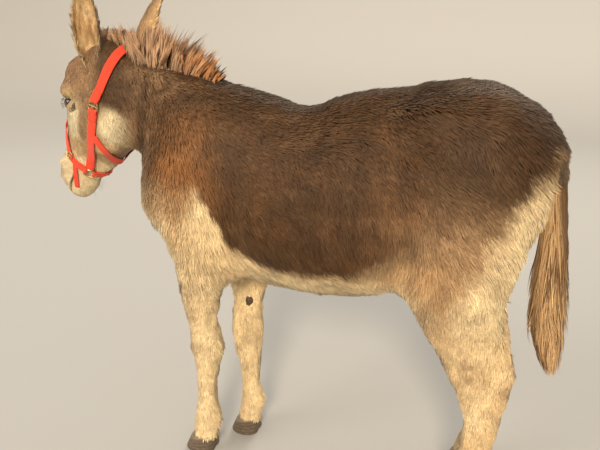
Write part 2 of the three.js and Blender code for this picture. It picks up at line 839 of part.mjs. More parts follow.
// A metal ring that lies flat over the coat.
function metalRing({ at, radius, wire, stretch }, sign, lift) {
  const centre = onHead(...level(at[1], sign * at[0]), lift + wire);
  const out = new THREE.Vector3(...gradient(body, centre.x, centre.y, centre.z)).normalize();
  const down = headToWorld(0, 0, -1).sub(headToWorld(0, 0, 0));
  down.addScaledVector(out, -down.dot(out)).normalize();
  const across = new THREE.Vector3().crossVectors(out, down);
  const frame = new THREE.Matrix4().makeBasis(down, across, out).setPosition(centre);
  return solidOf(new THREE.TorusGeometry(radius, wire, 5, 14)
    .scale(stretch[0], stretch[1], 1)
    .applyMatrix4(frame));
}

function buildHalter(flesh) {
  const clear = (solid, others) => largest(clearOf(solid, [...flesh, ...others], GAP));
  const { back, reach } = HALTER.crown;
  const arc = Array.from({ length: 13 }, (_, i) => over(back, reach * (i / 6 - 1)));
  const crown = clear(strap(arc, STRAP.width), []);
  add('halter_crown', crown, RED_WEBBING);

  const rings = [];
  for (const [side, sign] of SIDES) {
    const ring = clear(metalRing(METAL.ring, sign, STRAP_LIFT), []);
    const buckle = clear(metalRing(METAL.buckle, sign, STRAP_LIFT), [crown]);
    rings.push(ring);
    add(`halter_ring_${side}`, ring, BRASS);
    add(`halter_buckle_${side}`, buckle, BRASS);
    const route = HALTER.cheek.map(([degrees, down]) => level(down, sign * degrees));
    add(`halter_cheek_strap_${side}`, clear(strap(route, STRAP.width), [ring, buckle]), RED_WEBBING);
  }
  const bands = { noseband: STRAP.noseWidth, chin: STRAP.noseWidth, throat: STRAP.throatWidth };
  for (const [band, width] of Object.entries(bands)) {
    add(`halter_${band}_strap`, clear(strap(crossing(HALTER[band]), width), rings), RED_WEBBING);
  }
  const overStrap = STRAP_LIFT + STRAP.thickness + ROOT_GAP;
  add('halter_nose_buckle', metalRing(METAL.nose_buckle, -1, overStrap), BRASS);
  const end = HALTER.end.map(([degrees, down]) => level(down, -degrees));
  const beyondBuckle = overStrap + 2 * METAL.nose_buckle.wire + ROOT_GAP;
  add('halter_strap_end', strap(end, STRAP.endWidth, beyondBuckle), RED_WEBBING);
  return crown;
}

// ---------------------------------------------------------------- trunk, neck and head

function buildTrunk() {
  const box = regionBox([-700, -280, 440], [560, 280, 1160]);
  let trunk = surfaceNet(body, box, CELL.trunk)
    .subtract(halfSpace(TRUNK_CUT.point, TRUNK_CUT.normal, -GAP / 2));
  for (const end of ['fore', 'hind']) {
    for (const [, sign] of SIDES) {
      trunk = trunk.subtract(legBlock(end, sign, -60, LEG_TOP[end], -GAP / 2));
    }
  }
  return largest(trunk);
}

function buildNeck() {
  const box = regionBox([-700, -240, 520], [-200, 240, 1200]);
  return largest(surfaceNet(body, box, CELL.neck)
    .intersect(halfSpace(TRUNK_CUT.point, TRUNK_CUT.normal, GAP / 2))
    .intersect(halfSpace([NECK_CUT_X, 0, 0], [1, 0, 0], GAP / 2)));
}

function buildHead() {
  const box = regionBox([-900, -160, 650], [-540, 160, 1200]);
  return largest(surfaceNet(body, box, CELL.head)
    .intersect(halfSpace([NECK_CUT_X, 0, 0], [-1, 0, 0], GAP / 2)));
}

function eyeball(sign, radius) {
  const centre = headToWorld(-EYE.face, sign * EYE.side, -EYE.down);
  return solidOf(new THREE.SphereGeometry(radius, 10, 7).translate(centre.x, centre.y, centre.z));
}

// ---------------------------------------------------------------- assembly

const trunkSolid = buildTrunk();
const neckSolid = buildNeck();
const bareHead = buildHead();
const sockets = SIDES.map(([, sign]) => eyeball(sign, EYE.radius + GAP));

add('trunk', trunkSolid, COAT_BROWN);
add('neck', neckSolid, COAT_BROWN);
add('head', largest(sockets.reduce((rest, socket) => rest.subtract(socket), bareHead)), COAT_GREY);
buildLegs();
buildTail(trunkSolid);
const crownStrap = buildHalter([bareHead, neckSolid]);
buildMane([neckSolid, bareHead, trunkSolid, crownStrap]);
for (const [side, sign] of SIDES) {
  add(`eye_${side}`, eyeball(sign, EYE.radius), EYE_DARK);
  const ear = clearOf(earSolid(EARS[side]), [bareHead, neckSolid, crownStrap], ROOT_GAP);
  add(`ear_${side}`, largest(ear), COAT_GREY);
}

// The origin is on the floor, under the middle of the donkey's length and width.
const bounds = new THREE.Box3().setFromObject(group);
const middle = bounds.getCenter(new THREE.Vector3());
group.position.set(-middle.x, -middle.y, -bounds.min.z);

export default group;
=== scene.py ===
"""A standing donkey: one skin under a shaggy coat of tufts, mane, tail, eyes, hooves and red halter.

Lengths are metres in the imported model's frame: the donkey faces -X, its left is towards -Y, the
floor is at z = 0. Places on the head are given in head coordinates, named in the Head section.
"""

import json
import math

import bmesh
import bpy
import numpy as np
from mathutils import Matrix, Vector
from mathutils.bvhtree import BVHTree
from mathutils.kdtree import KDTree

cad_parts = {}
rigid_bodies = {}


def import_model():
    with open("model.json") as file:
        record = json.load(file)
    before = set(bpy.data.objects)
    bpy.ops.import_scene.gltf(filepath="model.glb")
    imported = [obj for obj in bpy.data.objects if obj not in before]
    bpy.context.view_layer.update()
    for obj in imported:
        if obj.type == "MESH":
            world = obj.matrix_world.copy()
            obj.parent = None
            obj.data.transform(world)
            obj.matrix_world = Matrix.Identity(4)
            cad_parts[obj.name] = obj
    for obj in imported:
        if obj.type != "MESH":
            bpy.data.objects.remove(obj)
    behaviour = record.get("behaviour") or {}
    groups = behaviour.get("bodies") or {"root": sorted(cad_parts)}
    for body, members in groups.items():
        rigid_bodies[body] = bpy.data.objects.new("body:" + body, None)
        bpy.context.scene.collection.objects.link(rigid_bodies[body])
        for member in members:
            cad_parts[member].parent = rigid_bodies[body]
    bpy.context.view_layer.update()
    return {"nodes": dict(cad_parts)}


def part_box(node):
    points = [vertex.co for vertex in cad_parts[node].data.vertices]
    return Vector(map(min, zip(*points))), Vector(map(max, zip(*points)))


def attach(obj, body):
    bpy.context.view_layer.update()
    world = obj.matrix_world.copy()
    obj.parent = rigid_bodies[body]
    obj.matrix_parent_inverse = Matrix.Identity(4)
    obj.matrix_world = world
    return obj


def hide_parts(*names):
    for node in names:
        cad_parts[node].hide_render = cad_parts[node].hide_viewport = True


for leftover in list(bpy.data.objects):
    bpy.data.objects.remove(leftover)

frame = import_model()
RANDOM = np.random.default_rng(11)
MM = 0.001
SIDES = {"left": -1, "right": 1}

# ---------------------------------------------------------------- colours (linear RGB)

DARK_BROWN = (0.050, 0.023, 0.008)
BACK_BROWN = (0.084, 0.040, 0.014)
RED_BROWN = (0.300, 0.130, 0.044)
NECK_BROWN = (0.082, 0.040, 0.015)
MOTTLE = (0.300, 0.180, 0.094)
TAN = (0.440, 0.260, 0.125)
CREAM = (0.640, 0.430, 0.215)
PALE_CREAM = (0.760, 0.590, 0.350)
# A cream whiter than the real pale marks, standing in for sunlight: painted light on the breast front,
# cheek, under the eye and on the muzzle.
PAINTED_SUNLIT_CREAM = (0.880, 0.740, 0.480)
FACE_GREY = (0.310, 0.185, 0.098)
PATCH_GREY = (0.260, 0.160, 0.090)
EAR_OCHRE = (0.600, 0.340, 0.130)
EAR_RIM = (0.130, 0.080, 0.045)
MANE_PALE = (0.430, 0.260, 0.150)
MANE_ORANGE = (0.440, 0.190, 0.062)
MANE_DARK = (0.110, 0.055, 0.028)
TAIL_BLONDE = (0.620, 0.400, 0.205)
TAIL_RED = (0.190, 0.098, 0.045)
WEBBING_RED = (0.780, 0.060, 0.024)
THREAD_RED = (0.560, 0.035, 0.018)
BRASS = (0.640, 0.440, 0.200)
HORNY_SKIN = (0.030, 0.024, 0.020)
BARE_SKIN = (0.034, 0.022, 0.018)

# ---------------------------------------------------------------- arrays and fields


def ease(low, high, value):
    """0 below low, 1 above high and a smooth step between."""
    t = np.clip((value - low) / (high - low), 0, 1)
    return t * t * (3 - 2 * t)


def mix(a, b, share):
    """Blends two colours or arrays of colours by a number for each point."""
    share = np.asarray(share)[..., None]
    return np.asarray(a) * (1 - share) + np.asarray(b) * share


def unit(vectors):
    return vectors / np.maximum(np.linalg.norm(vectors, axis=-1, keepdims=True), 1e-12)


def laid_flat(ways, normals):
    """Unit vectors: the ways without what points along the normals."""
    return unit(ways - normals * np.sum(ways * normals, axis=-1, keepdims=True))


def squared_off(value, power):
    """A sine or cosine raised to a power with its sign kept, which squares a circle off."""
    return math.copysign(abs(value) ** power, value)


def length_along(places):
    """How far along a line each of its places is."""
    steps = np.linalg.norm(np.diff(places, axis=0), axis=1)
    return np.concatenate([[0], np.cumsum(steps)])


def interpolated(at, along, rows):
    """Rows of values, given at places along a line, at other places along it."""
    return np.stack([np.interp(at, along, column) for column in np.transpose(rows)], axis=-1)


def nearest(points, places):
    """The number of the point that is nearest to each place."""
    tree = KDTree(len(points))
    for number, point in enumerate(points):
        tree.insert(point, number)
    tree.balance()
    return np.array([tree.find(place)[1] for place in places])


LATTICE = RANDOM.random((32, 32, 32, 3)) * 2 - 1


def drift(points, size, seed=0):
    """Three smooth random numbers, from -1 to 1, that change over about the given size."""
    place = points / size + seed * 5.37
    cell = np.floor(place).astype(int)
    t = place - cell
    t = t * t * (3 - 2 * t)
    total = np.zeros((len(points), 3))
    for corner in np.ndindex(2, 2, 2):
        index = (cell + corner) % 32
        weight = np.prod(np.where(corner, t, 1 - t), axis=1)
        total += weight[:, None] * LATTICE[index[:, 0], index[:, 1], index[:, 2]]
    return total


def blob(points, centre, radii):
    """1 at the centre, falling to 0 at about one and a half radii."""
    d = ((points - centre) / radii) ** 2
    return np.exp(-1.6 * d.sum(axis=1))


def mirrored(points):
    """The points with the left side's places, so that one description serves both sides."""
    return points * (1, 0, 1) - np.abs(points) * (0, 1, 0)


# ---------------------------------------------------------------- the head's own coordinates

# Head coordinates: the poll is the origin, -X the face, +X the jaw, -Y the left, -Z the muzzle.
HEAD_TILT = math.radians(20.5)
HEAD_TURN = math.radians(4)
EYE_PLACE = Vector((-40, -65, -157)) * MM
EYE_RADIUS = 19 * MM
POLL_FROM_AXIS = Vector((-638, 0, 1123)) * MM


def box_middle(node):
    low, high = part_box(node)
    return (low + high) / 2


HEAD_TURNED = (Matrix.Rotation(-HEAD_TURN, 4, "Z") @ Matrix.Rotation(HEAD_TILT, 4, "Y"))
POLL = box_middle("eye_left") - HEAD_TURNED @ EYE_PLACE
HEAD = Matrix.Translation(POLL) @ HEAD_TURNED
HEAD_INVERSE = HEAD.inverted()
AXIS_SHIFT = POLL - POLL_FROM_AXIS  # from the drawing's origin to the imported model's


def to_head(points):
    """World points in head coordinates."""
    matrix = np.array(HEAD_INVERSE)
    return points @ matrix[:3, :3].T + matrix[:3, 3]


def from_head(points):
    matrix = np.array(HEAD)
    return np.asarray(points) @ matrix[:3, :3].T + matrix[:3, 3]


def head_direction(vectors):
    return np.asarray(vectors) @ np.array(HEAD)[:3, :3].T


def on_head(down, face, side):
    """A place on the head in millimetres: down from the poll, out on the face side, to the side."""
    return np.array((-face, side, -down)) * MM


def head_blob(head_points, place, radii):
    """A blob on the head: its place and its radii are down, face and side in millimetres."""
    down, face, side = radii
    return blob(head_points, on_head(*place), np.array((face, side, down)) * MM)


NECK_CUT = AXIS_SHIFT.x - 0.584


def headness(points):
    """0 on the neck and body, 1 on the head."""
    return ease(NECK_CUT + 0.035, NECK_CUT - 0.03, points[:, 0])


LEG_SPLIT_X = 0.10  # between the forelegs and the hind legs


def legness(points):
    """0 on the trunk, 1 on the lower legs."""
    x, z = points[:, 0], points[:, 2]
    fore = ease(0.60, 0.46, z)
    hind = ease(0.66, 0.44, z)
    tail = ease(0.585, 0.60, x) * ease(0.13, 0.09, np.abs(points[:, 1]))
    return np.where(x < LEG_SPLIT_X, fore, hind) * (1 - tail)


# ---------------------------------------------------------------- mesh helpers


def mesh_object(name, vertices, faces, material=None, colours=None):
    """An object from arrays. Faces all have the same number of corners."""
    faces = np.asarray(faces)
    mesh = bpy.data.meshes.new(name)
    mesh.vertices.add(len(vertices))
    mesh.vertices.foreach_set("co", np.asarray(vertices, dtype=np.float32).ravel())
    mesh.loops.add(faces.size)
    mesh.loops.foreach_set("vertex_index", faces.astype(np.int32).ravel())
    mesh.polygons.add(len(faces))
    starts = np.arange(0, faces.size, faces.shape[1], dtype=np.int32)
    mesh.polygons.foreach_set("loop_start", starts)
    mesh.update(calc_edges=True)
    mesh.shade_smooth()
    if colours is not None:
        paint(mesh, colours)
    obj = bpy.data.objects.new(name, mesh)
    bpy.context.scene.collection.objects.link(obj)
    if material:
        mesh.materials.append(material)
    return obj


def surface_tree(mesh):
    """What rays and nearest places are looked up in."""
    return BVHTree.FromPolygons([v.co for v in mesh.vertices], [p.vertices for p in mesh.polygons])


def register(piece, slot, *nodes):
    """Says what a piece rides on and the nodes that it stands for; its slot is not used."""
    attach(piece, "root")
    if nodes:
        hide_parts(*nodes)


def paint(mesh, colours):
    """Stores a colour for each vertex, which the materials read."""
    layer = mesh.color_attributes.new("coat", "FLOAT_COLOR", "POINT")
    rgba = np.ones((len(mesh.vertices), 4), dtype=np.float32)
    rgba[:, :3] = colours
    layer.data.foreach_set("color", rgba.ravel())


def rows_of(items, name, width, kind):
    """One attribute of all of a mesh's items, as a row for each."""
    values = np.empty(len(items) * width, dtype=kind)
    items.foreach_get(name, values)
    return values.reshape(-1, width)


def positions(mesh):
    return rows_of(mesh.vertices, "co", 3, np.float32).astype(float)


def vertex_normals(mesh):
    return rows_of(mesh.vertex_normals, "vector", 3, np.float32).astype(float)


def set_positions(mesh, points):
    mesh.vertices.foreach_set("co", points.astype(np.float32).ravel())
    mesh.update()


def ring_places(rings, columns):
    """Yields each point of a stack of rings: its share of the way through them, and its turn."""
    for ring in range(rings + 1):
        for column in range(columns):
            yield ring / rings, 2 * math.pi * column / columns


def ring_quads(rings, columns, closed=False):
    """Quads between rings of points; closed also joins the last ring to the first."""
    quads = []
    for ring in range(rings if closed else rings - 1):
        this, after = ring * columns, (ring + 1) % rings * columns
        for column in range(columns):
            beside = (column + 1) % columns
            quads.append((this + column, this + beside, after + beside, after + column))
    return quads


def close_ends(mesh):
    """Caps a mesh's open ends and turns its faces outward."""
    bm = bmesh.new()
    bm.from_mesh(mesh)
    bmesh.ops.holes_fill(bm, edges=[edge for edge in bm.edges if edge.is_boundary])
    bmesh.ops.recalc_face_normals(bm, faces=bm.faces)
    bm.to_mesh(mesh)
    bm.free()


def relax(mesh, passes, strength):
    """Smooths a mesh; strength is a number for each vertex. It shrinks only a little."""
    points = positions(mesh)
    a, b = rows_of(mesh.edges, "vertices", 2, np.int32).T
    count = len(points)
    degree = np.maximum(np.bincount(a, minlength=count) + np.bincount(b, minlength=count), 1)
    for step in range(passes):
        inward = 1 if step % 2 == 0 else -1.02
        average = np.empty_like(points)
        for axis in range(3):
            column = points[:, axis]
            total = np.bincount(a, column[b], count) + np.bincount(b, column[a], count)
            average[:, axis] = total / degree
        points += (average - points) * (strength * inward)[:, None]
    set_positions(mesh, points)


def joined_nodes(nodes):
    """The merged mesh of some CAD nodes, as a new object."""
    mesh = bpy.data.meshes.new("skin")
    bm = bmesh.new()
    for node in nodes:
        bm.from_mesh(frame["nodes"][node].data)
    bmesh.ops.remove_doubles(bm, verts=bm.verts, dist=1e-6)
    bm.to_mesh(mesh)
    bm.free()
    obj = bpy.data.objects.new("skin", mesh)
    bpy.context.scene.collection.objects.link(obj)
    return obj


def remesh(obj, voxel):
    """Replaces an object's mesh by one even mesh over its outside."""
    modifier = obj.modifiers.new("remesh", "REMESH")
    modifier.mode = "VOXEL"
    modifier.voxel_size = voxel
    graph = bpy.context.evaluated_depsgraph_get()
    before = obj.data
    obj.data = bpy.data.meshes.new_from_object(obj.evaluated_get(graph))
    obj.modifiers.clear()
    bpy.data.meshes.remove(before)


def refine_near(mesh, wanted):
    """Splits every face whose vertices are all wanted, a bool for each vertex, in four."""
    bm = bmesh.new()
    bm.from_mesh(mesh)
    edges = [e for e in bm.edges if wanted[e.verts[0].index] and wanted[e.verts[1].index]]
    bmesh.ops.subdivide_edges(bm, edges=edges, cuts=1, use_grid_fill=True)
    bm.to_mesh(mesh)
    bm.free()


# ---------------------------------------------------------------- the skin

FLESH = ["trunk", "neck", "head", "tail"]
FLESH += [f"{end}leg_{part}_{side}" for end in ("fore", "hind") for part in ("upper", "lower")
          for side in SIDES]

VOXEL = 6.5 * MM
DOCK_X = 0.60  # behind this is the dock
DOCK_COAT_END = 0.76  # the height below which the tail's long hair covers the dock
# The coat on the body, legs, dock, head and muzzle, in millimetres: how far the skin lies inside
# its tips, how far apart its tufts stand, and how long and wide they are.
COAT = {
    "depth": (15, 6, 9, 3.6, 1.6),
    "spacing": (3.35, 3.1, 3.2, 2.3, 2.0),
    "length": (34, 17, 26, 10, 6.0),
    "width": (4.1, 3.3, 3.6, 2.1, 1.7),
}
LEG_COAT_DEPTH = COAT["depth"][1] * MM


def muzzleness(head_points):
    """0 above the halter's noseband, 1 on the lips and nostrils."""
    return ease(-0.290, -0.375, head_points[:, 2])


def dockness(points):
    """0 on the rump, 1 on the dock."""
    return ease(DOCK_X, DOCK_X + 0.025, points[:, 0]) * ease(0.97, 0.93, points[:, 2])


def of_coat(points, measure):
    """One of the coat's measures at each point, blended from region to region."""
    head = headness(points)
    shares = (legness(points), dockness(points), head, muzzleness(to_head(points)) * head)
    body, *others = COAT[measure]
    value = np.full(len(points), float(body))
    for share, other in zip(shares, others):
        value = value * (1 - share) + other * share
    return value * MM


# Forms under the coat, left side: centre, radii and how far the skin moves out, in millimetres.
BODY_FORMS = [
    ((-255, -160, 700), (34, 40, 40), 8),  # point of the shoulder
    ((-110, -160, 590), (30, 40, 34), 6),  # elbow
    ((-285, -6, 690), (60, 14, 90), -10),  # cleft of the breast
    ((340, -190, 700), (40, 50, 90), -9),  # hollow of the flank
    ((395, -190, 640), (30, 40, 50), 8),  # stifle
    ((350, -120, 1010), (50, 40, 36), 7),  # point of the hip
    ((590, -70, 880), (30, 30, 40), 6),  # seat bone
    ((560, -130, 520), (26, 40, 150), -8),  # hollow ahead of the hamstring
    ((597, -105, 425), (14, 20, 26), 5),  # point of the hock
    ((470, -105, 400), (22, 30, 34), 4),  # front of the hock
    ((555, -92, 250), (14, 26, 110), -4),  # groove ahead of the hind tendons
    ((-190, -75, 210), (12, 26, 90), -3.5),  # groove ahead of the fore tendons
    ((-262, -72, 330), (18, 24, 30), 3),  # knee
]

# Forms of the head: down, face, side; radii; and how far the skin moves out, in millimetres.
HEAD_FORMS = [
    ((131, 54, -64), (12, 22, 22), 6.0),  # ridge of the brow
    ((178, 46, -60), (16, 18, 18), 2.0),  # fullness under the eye
    ((205, 22, -64), (46, 9, 20), 2.4),  # facial crest
    ((215, 58, -42), (60, 14, 18), -2.2),  # flat beside the nose bone
    ((150, 8, -84), (30, 20, 20), -2.4),  # hollow behind the eye
    ((240, -62, -34), (70, 14, 18), -2.6),  # edge of the jaw's branch
    ((352, 60, -34), (12, 12, 16), 3.4),  # outer wing of the nostril
    ((392, 60, -22), (14, 16, 14), 2.6),  # inner wing of the nostril
    ((374, 66, -33), (16, 9, 8), -18.0),  # hollow of the nostril
    ((358, 66, -39), (10, 8, 5), -6.0),  # its upper, narrower end
    ((378, 72, 0), (24, 20, 9), -1.8),  # dip between the nostrils
    ((405, 38, -14), (10, 18, 20), 2.6),  # upper lip
    ((398, -4, -10), (14, 20, 20), 3.2),  # chin
]

# The line of the mouth seen from the side, from its corner to the front: down and face.
MOUTH_DOWN = (345, 362, 380, 396, 410)
MOUTH_FACE = (6, 9, 12, 15, 18)
MOUTH_WIDTH = 2.8 * MM
MOUTH_DEPTH = 6.5 * MM

# The nostril, left side: down, face, side of its middle, and its radii down, face and side.
NOSTRIL = ((372, 58, -33), (18, 26, 12))


def mouthness(head_points, width):
    """1 in the slit between the lips, falling away over a width."""
    down, face = -head_points[:, 2], -head_points[:, 0]
    level = np.interp(down, np.array(MOUTH_DOWN) * MM, np.array(MOUTH_FACE) * MM)
    return np.exp(-(((face - level) / width) ** 2)) * ease(0.338, 0.350, down)


def shape_forms(mesh):
    """Moves the skin along its normals to show muscle, bone, nostrils and mouth."""
    points = positions(mesh)
    normals = vertex_normals(mesh)
    move = np.zeros(len(points))
    left = mirrored(points)
    for centre, radii, amount in BODY_FORMS:
        move += amount * MM * blob(left, np.array(centre) * MM, np.array(radii) * MM)
    on = headness(points)
    head_left = mirrored(to_head(points))
    for place, radii, amount in HEAD_FORMS:
        move += amount * MM * on * head_blob(head_left, place, radii)
    move -= MOUTH_DEPTH * on * mouthness(head_left, MOUTH_WIDTH)
    set_positions(mesh, points + normals * move[:, None])


def build_skin():
    """The skin, and the outer surface of the coat over it, which the halter lies on."""
    obj = joined_nodes(FLESH)
    remesh(obj, VOXEL)
    mesh = obj.data
    points = positions(mesh)
    relax(mesh, 60, 0.62 - 0.24 * legness(points) - 0.26 * headness(points))
    coat_tree = surface_tree(mesh)
    points = positions(mesh)
    set_positions(mesh, points - vertex_normals(mesh) * of_coat(points, "depth")[:, None])
    relax(mesh, 6, np.full(len(points), 0.4))
    refine_near(mesh, headness(positions(mesh)) > 0.4)
    points = positions(mesh)
    refine_near(mesh, muzzleness(to_head(points)) * headness(points) > 0.15)
    relax(mesh, 4, 0.4 * headness(positions(mesh)))
    shape_forms(mesh)
    mesh.name = "skin"
    return obj, coat_tree


SKIN, COAT_TREE = build_skin()

# ---------------------------------------------------------------- the markings

# Where the brown of the back ends, seen from the side: x, the edge's height and how soft it is.
EDGE_X = [-0.50, -0.40, -0.30, -0.25, -0.19, -0.15, -0.10, -0.03, 0.06, 0.17, 0.25, 0.33, 0.40, 0.47,
          0.53, 0.58, 0.64]
EDGE_Z = [0.87, 0.84, 0.795, 0.785, 0.825, 0.765, 0.690, 0.640, 0.636, 0.650, 0.672, 0.71, 0.72, 0.74,
          0.80, 0.875, 0.93]
SOFT_X = [-0.50, -0.25, -0.20, -0.17, 0.20, 0.34, 0.45, 0.55, 0.64]
SOFT = [0.060, 0.060, 0.030, 0.013, 0.022, 0.055, 0.120, 0.070, 0.040]
# The front edge of the pale band down the back of the thigh: height and x.
BAND_Z = [0.45, 0.60, 0.68, 0.77, 0.86, 0.92]
BAND_X = [0.440, 0.450, 0.472, 0.508, 0.568, 0.604]
# Grey patches on the pale legs, left side: strength, centre and radii.
LEG_PATCHES = [
    (0.60, (0.49, -0.14, 0.42), (0.035, 0.10, 0.075)),
    (0.55, (0.42, -0.18, 0.60), (0.06, 0.10, 0.07)),
    (0.45, (-0.235, -0.10, 0.47), (0.03, 0.09, 0.08)),
    (0.40, (-0.255, -0.08, 0.33), (0.02, 0.06, 0.05)),
    (0.45, (0.58, -0.11, 0.40), (0.025, 0.08, 0.05)),
]


def body_noise(points):
    """The random fields that the body's markings share: wandering, fine, broad and curly."""
    curl = drift(points, 0.020, 15)[:, 0] + 0.6 * drift(points, 0.040, 16)[:, 0]
    return drift(points, 0.045, 1), drift(points, 0.014, 2), drift(points, 0.16, 3), curl


def brown_coat(points, noise):
    """The brown of the back and neck: redder at the shoulder, mottled on thigh and crest, and lighter and
    darker across the folds of the neck as painted light and painted shade.
    """
    x, y, z = points.T
    side, left = np.abs(y), mirrored(points)
    wander, fine, broad, curl = noise
    coat = mix(BACK_BROWN, DARK_BROWN, 0.5 + 0.5 * broad[:, 0])
    coat = mix(coat, NECK_BROWN, ease(-0.20, -0.34, x) * 0.8)
    shoulder = blob(left, (-0.25, -0.15, 0.86), (0.10, 0.12, 0.14))
    coat = mix(coat, RED_BROWN, np.clip(shoulder * 1.25 + 0.18 * wander[:, 1], 0, 1) * 0.9)
    flank = blob(left, (0.30, -0.19, 0.82), (0.10, 0.08, 0.10))
    coat = mix(coat, RED_BROWN, flank * 0.20)
    thigh = blob(left, (0.44, -0.2, 0.765), (0.14, 0.10, 0.12))
    coat = mix(coat, MOTTLE, np.clip(thigh * (1.2 + 0.5 * wander[:, 2]), 0, 1) * 0.95)
    light_hair = np.clip(0.5 * drift(points, 0.022, 9)[:, 0] + 0.6 * fine[:, 1], 0, 1)
    coat = mix(coat, MOTTLE, light_hair * 0.18)
    coat = mix(coat, BACK_BROWN, thigh * ease(0.1, 0.6, curl) * 0.5)
    crest = ease(0.075, 0.020, side) * ease(-0.17, -0.26, x) * ease(0.96, 1.01, z)
    coat = mix(coat, MOTTLE, crest * np.clip(0.30 + 0.6 * fine[:, 1] + 0.4 * wander[:, 0], 0, 1))
    # Folds of the neck: lighter bands are painted light on their ridges, darker bands painted shade
    # between them.
    folds = drift(points * (1, 1, 0.30), 0.028, 21)[:, 0] + 0.5 * fine[:, 2]
    neck = ease(-0.22, -0.34, x) * ease(0.78, 0.90, z)
    coat = mix(coat, MOTTLE, neck * np.clip(folds, 0, 1) * 0.55)
    coat = mix(coat, DARK_BROWN, neck * np.clip(-folds, 0, 1) * 0.60)
    croup = ease(0.25, 0.42, x) * ease(0.80, 0.92, z)
    coat = mix(coat, DARK_BROWN, croup * (0.45 + 0.35 * wander[:, 1]))
    stripe = ease(0.035, 0.012, side) * ease(0.95, 1.0, z)
    return mix(coat, DARK_BROWN, stripe * 0.7)


def pale_coat(points, noise):
    """The creams of the belly, breast and legs, with grey patches; the belly, forearms and breast front
    are made paler still as painted light.
    """
    x, y, z = points.T
    wander, fine, broad, curl = noise
    coat = mix(CREAM, PALE_CREAM, np.clip(0.5 + 0.4 * broad[:, 1] + 0.25 * wander[:, 1], 0, 1))
    coat = mix(coat, PALE_CREAM, ease(0.12, 0.04, np.abs(y)) * ease(0.80, 0.60, z) * 0.5)
    # Belly and forearms lifted to the paler cream: painted light from the sun and from the ground below.
    belly = ease(0.68, 0.60, z) * ease(-0.16, -0.02, x) * ease(0.42, 0.30, x)
    foreleg = ease(-0.08, -0.16, x) * ease(0.72, 0.56, z)
    coat = mix(coat, PALE_CREAM, np.maximum(belly, 0.7 * foreleg))
    # The breast front made whiter still: painted sunlight.
    coat = mix(coat, PAINTED_SUNLIT_CREAM, ease(-0.24, -0.31, x) * 0.8)
    haunch = ease(0.53, 0.47, x) * ease(0.30, 0.38, x) * ease(0.45, 0.60, z)
    coat = mix(coat, PATCH_GREY, np.clip(haunch * (0.35 + 0.55 * curl), 0, 0.6))
    patches = sum(strength * blob(mirrored(points), *place) for strength, *place in LEG_PATCHES)
    return mix(coat, PATCH_GREY, np.clip(patches * (0.8 + 0.9 * fine[:, 1]), 0, 0.70))


def dock_coat(points, fine):
    """Blonde, with the back's brown in a line down the dock's rear."""
    x, _, z = points.T
    coat = mix(CREAM, TAIL_BLONDE, ease(0.90, 0.78, z) * 0.8 + 0.2 * fine[:, 0])
    dorsal = ease(0.612, 0.640, x + 0.10 * (z - 0.80))
    return mix(coat, BACK_BROWN, np.clip(dorsal + 0.35 * fine[:, 2], 0, 1) * 0.9)


def body_markings(points):
    """The coat's colour on the trunk, neck, legs and dock."""
    x, _, z = points.T
    noise = body_noise(points)
    wander, fine = noise[:2]
    edge = np.interp(x, EDGE_X, EDGE_Z) + 0.012 * wander[:, 0] + 0.006 * fine[:, 0]
    soft = np.interp(x, SOFT_X, SOFT)
    border = np.exp(-((z - edge + soft * 0.3) / (soft * 1.1)) ** 2) * ease(0.02, 0.05, soft)
    pale = mix(pale_coat(points, noise), TAN, border * 0.8)
    coat = mix(pale, brown_coat(points, noise), ease(-1, 1, (z - edge) / soft))
    behind = x - np.interp(z, BAND_Z, BAND_X) + 0.012 * (wander[:, 0] + fine[:, 0])
    band = ease(-0.040, 0.030, behind) * ease(0.45, 0.60, z) * ease(0.94, 0.86, z)
    coat = mix(coat, PALE_CREAM, band * 0.9)
    return mix(coat, dock_coat(points, fine), dockness(points) * 0.95)


def bareness(points):
    """1 in the nostrils and along the lips, where no hair grows."""
    left = mirrored(to_head(points))
    nostril = head_blob(left, *NOSTRIL)
    lips = mouthness(left, 4.0 * MM)
    return np.clip(np.maximum(nostril * 1.9, lips), 0, 1) * headness(points)


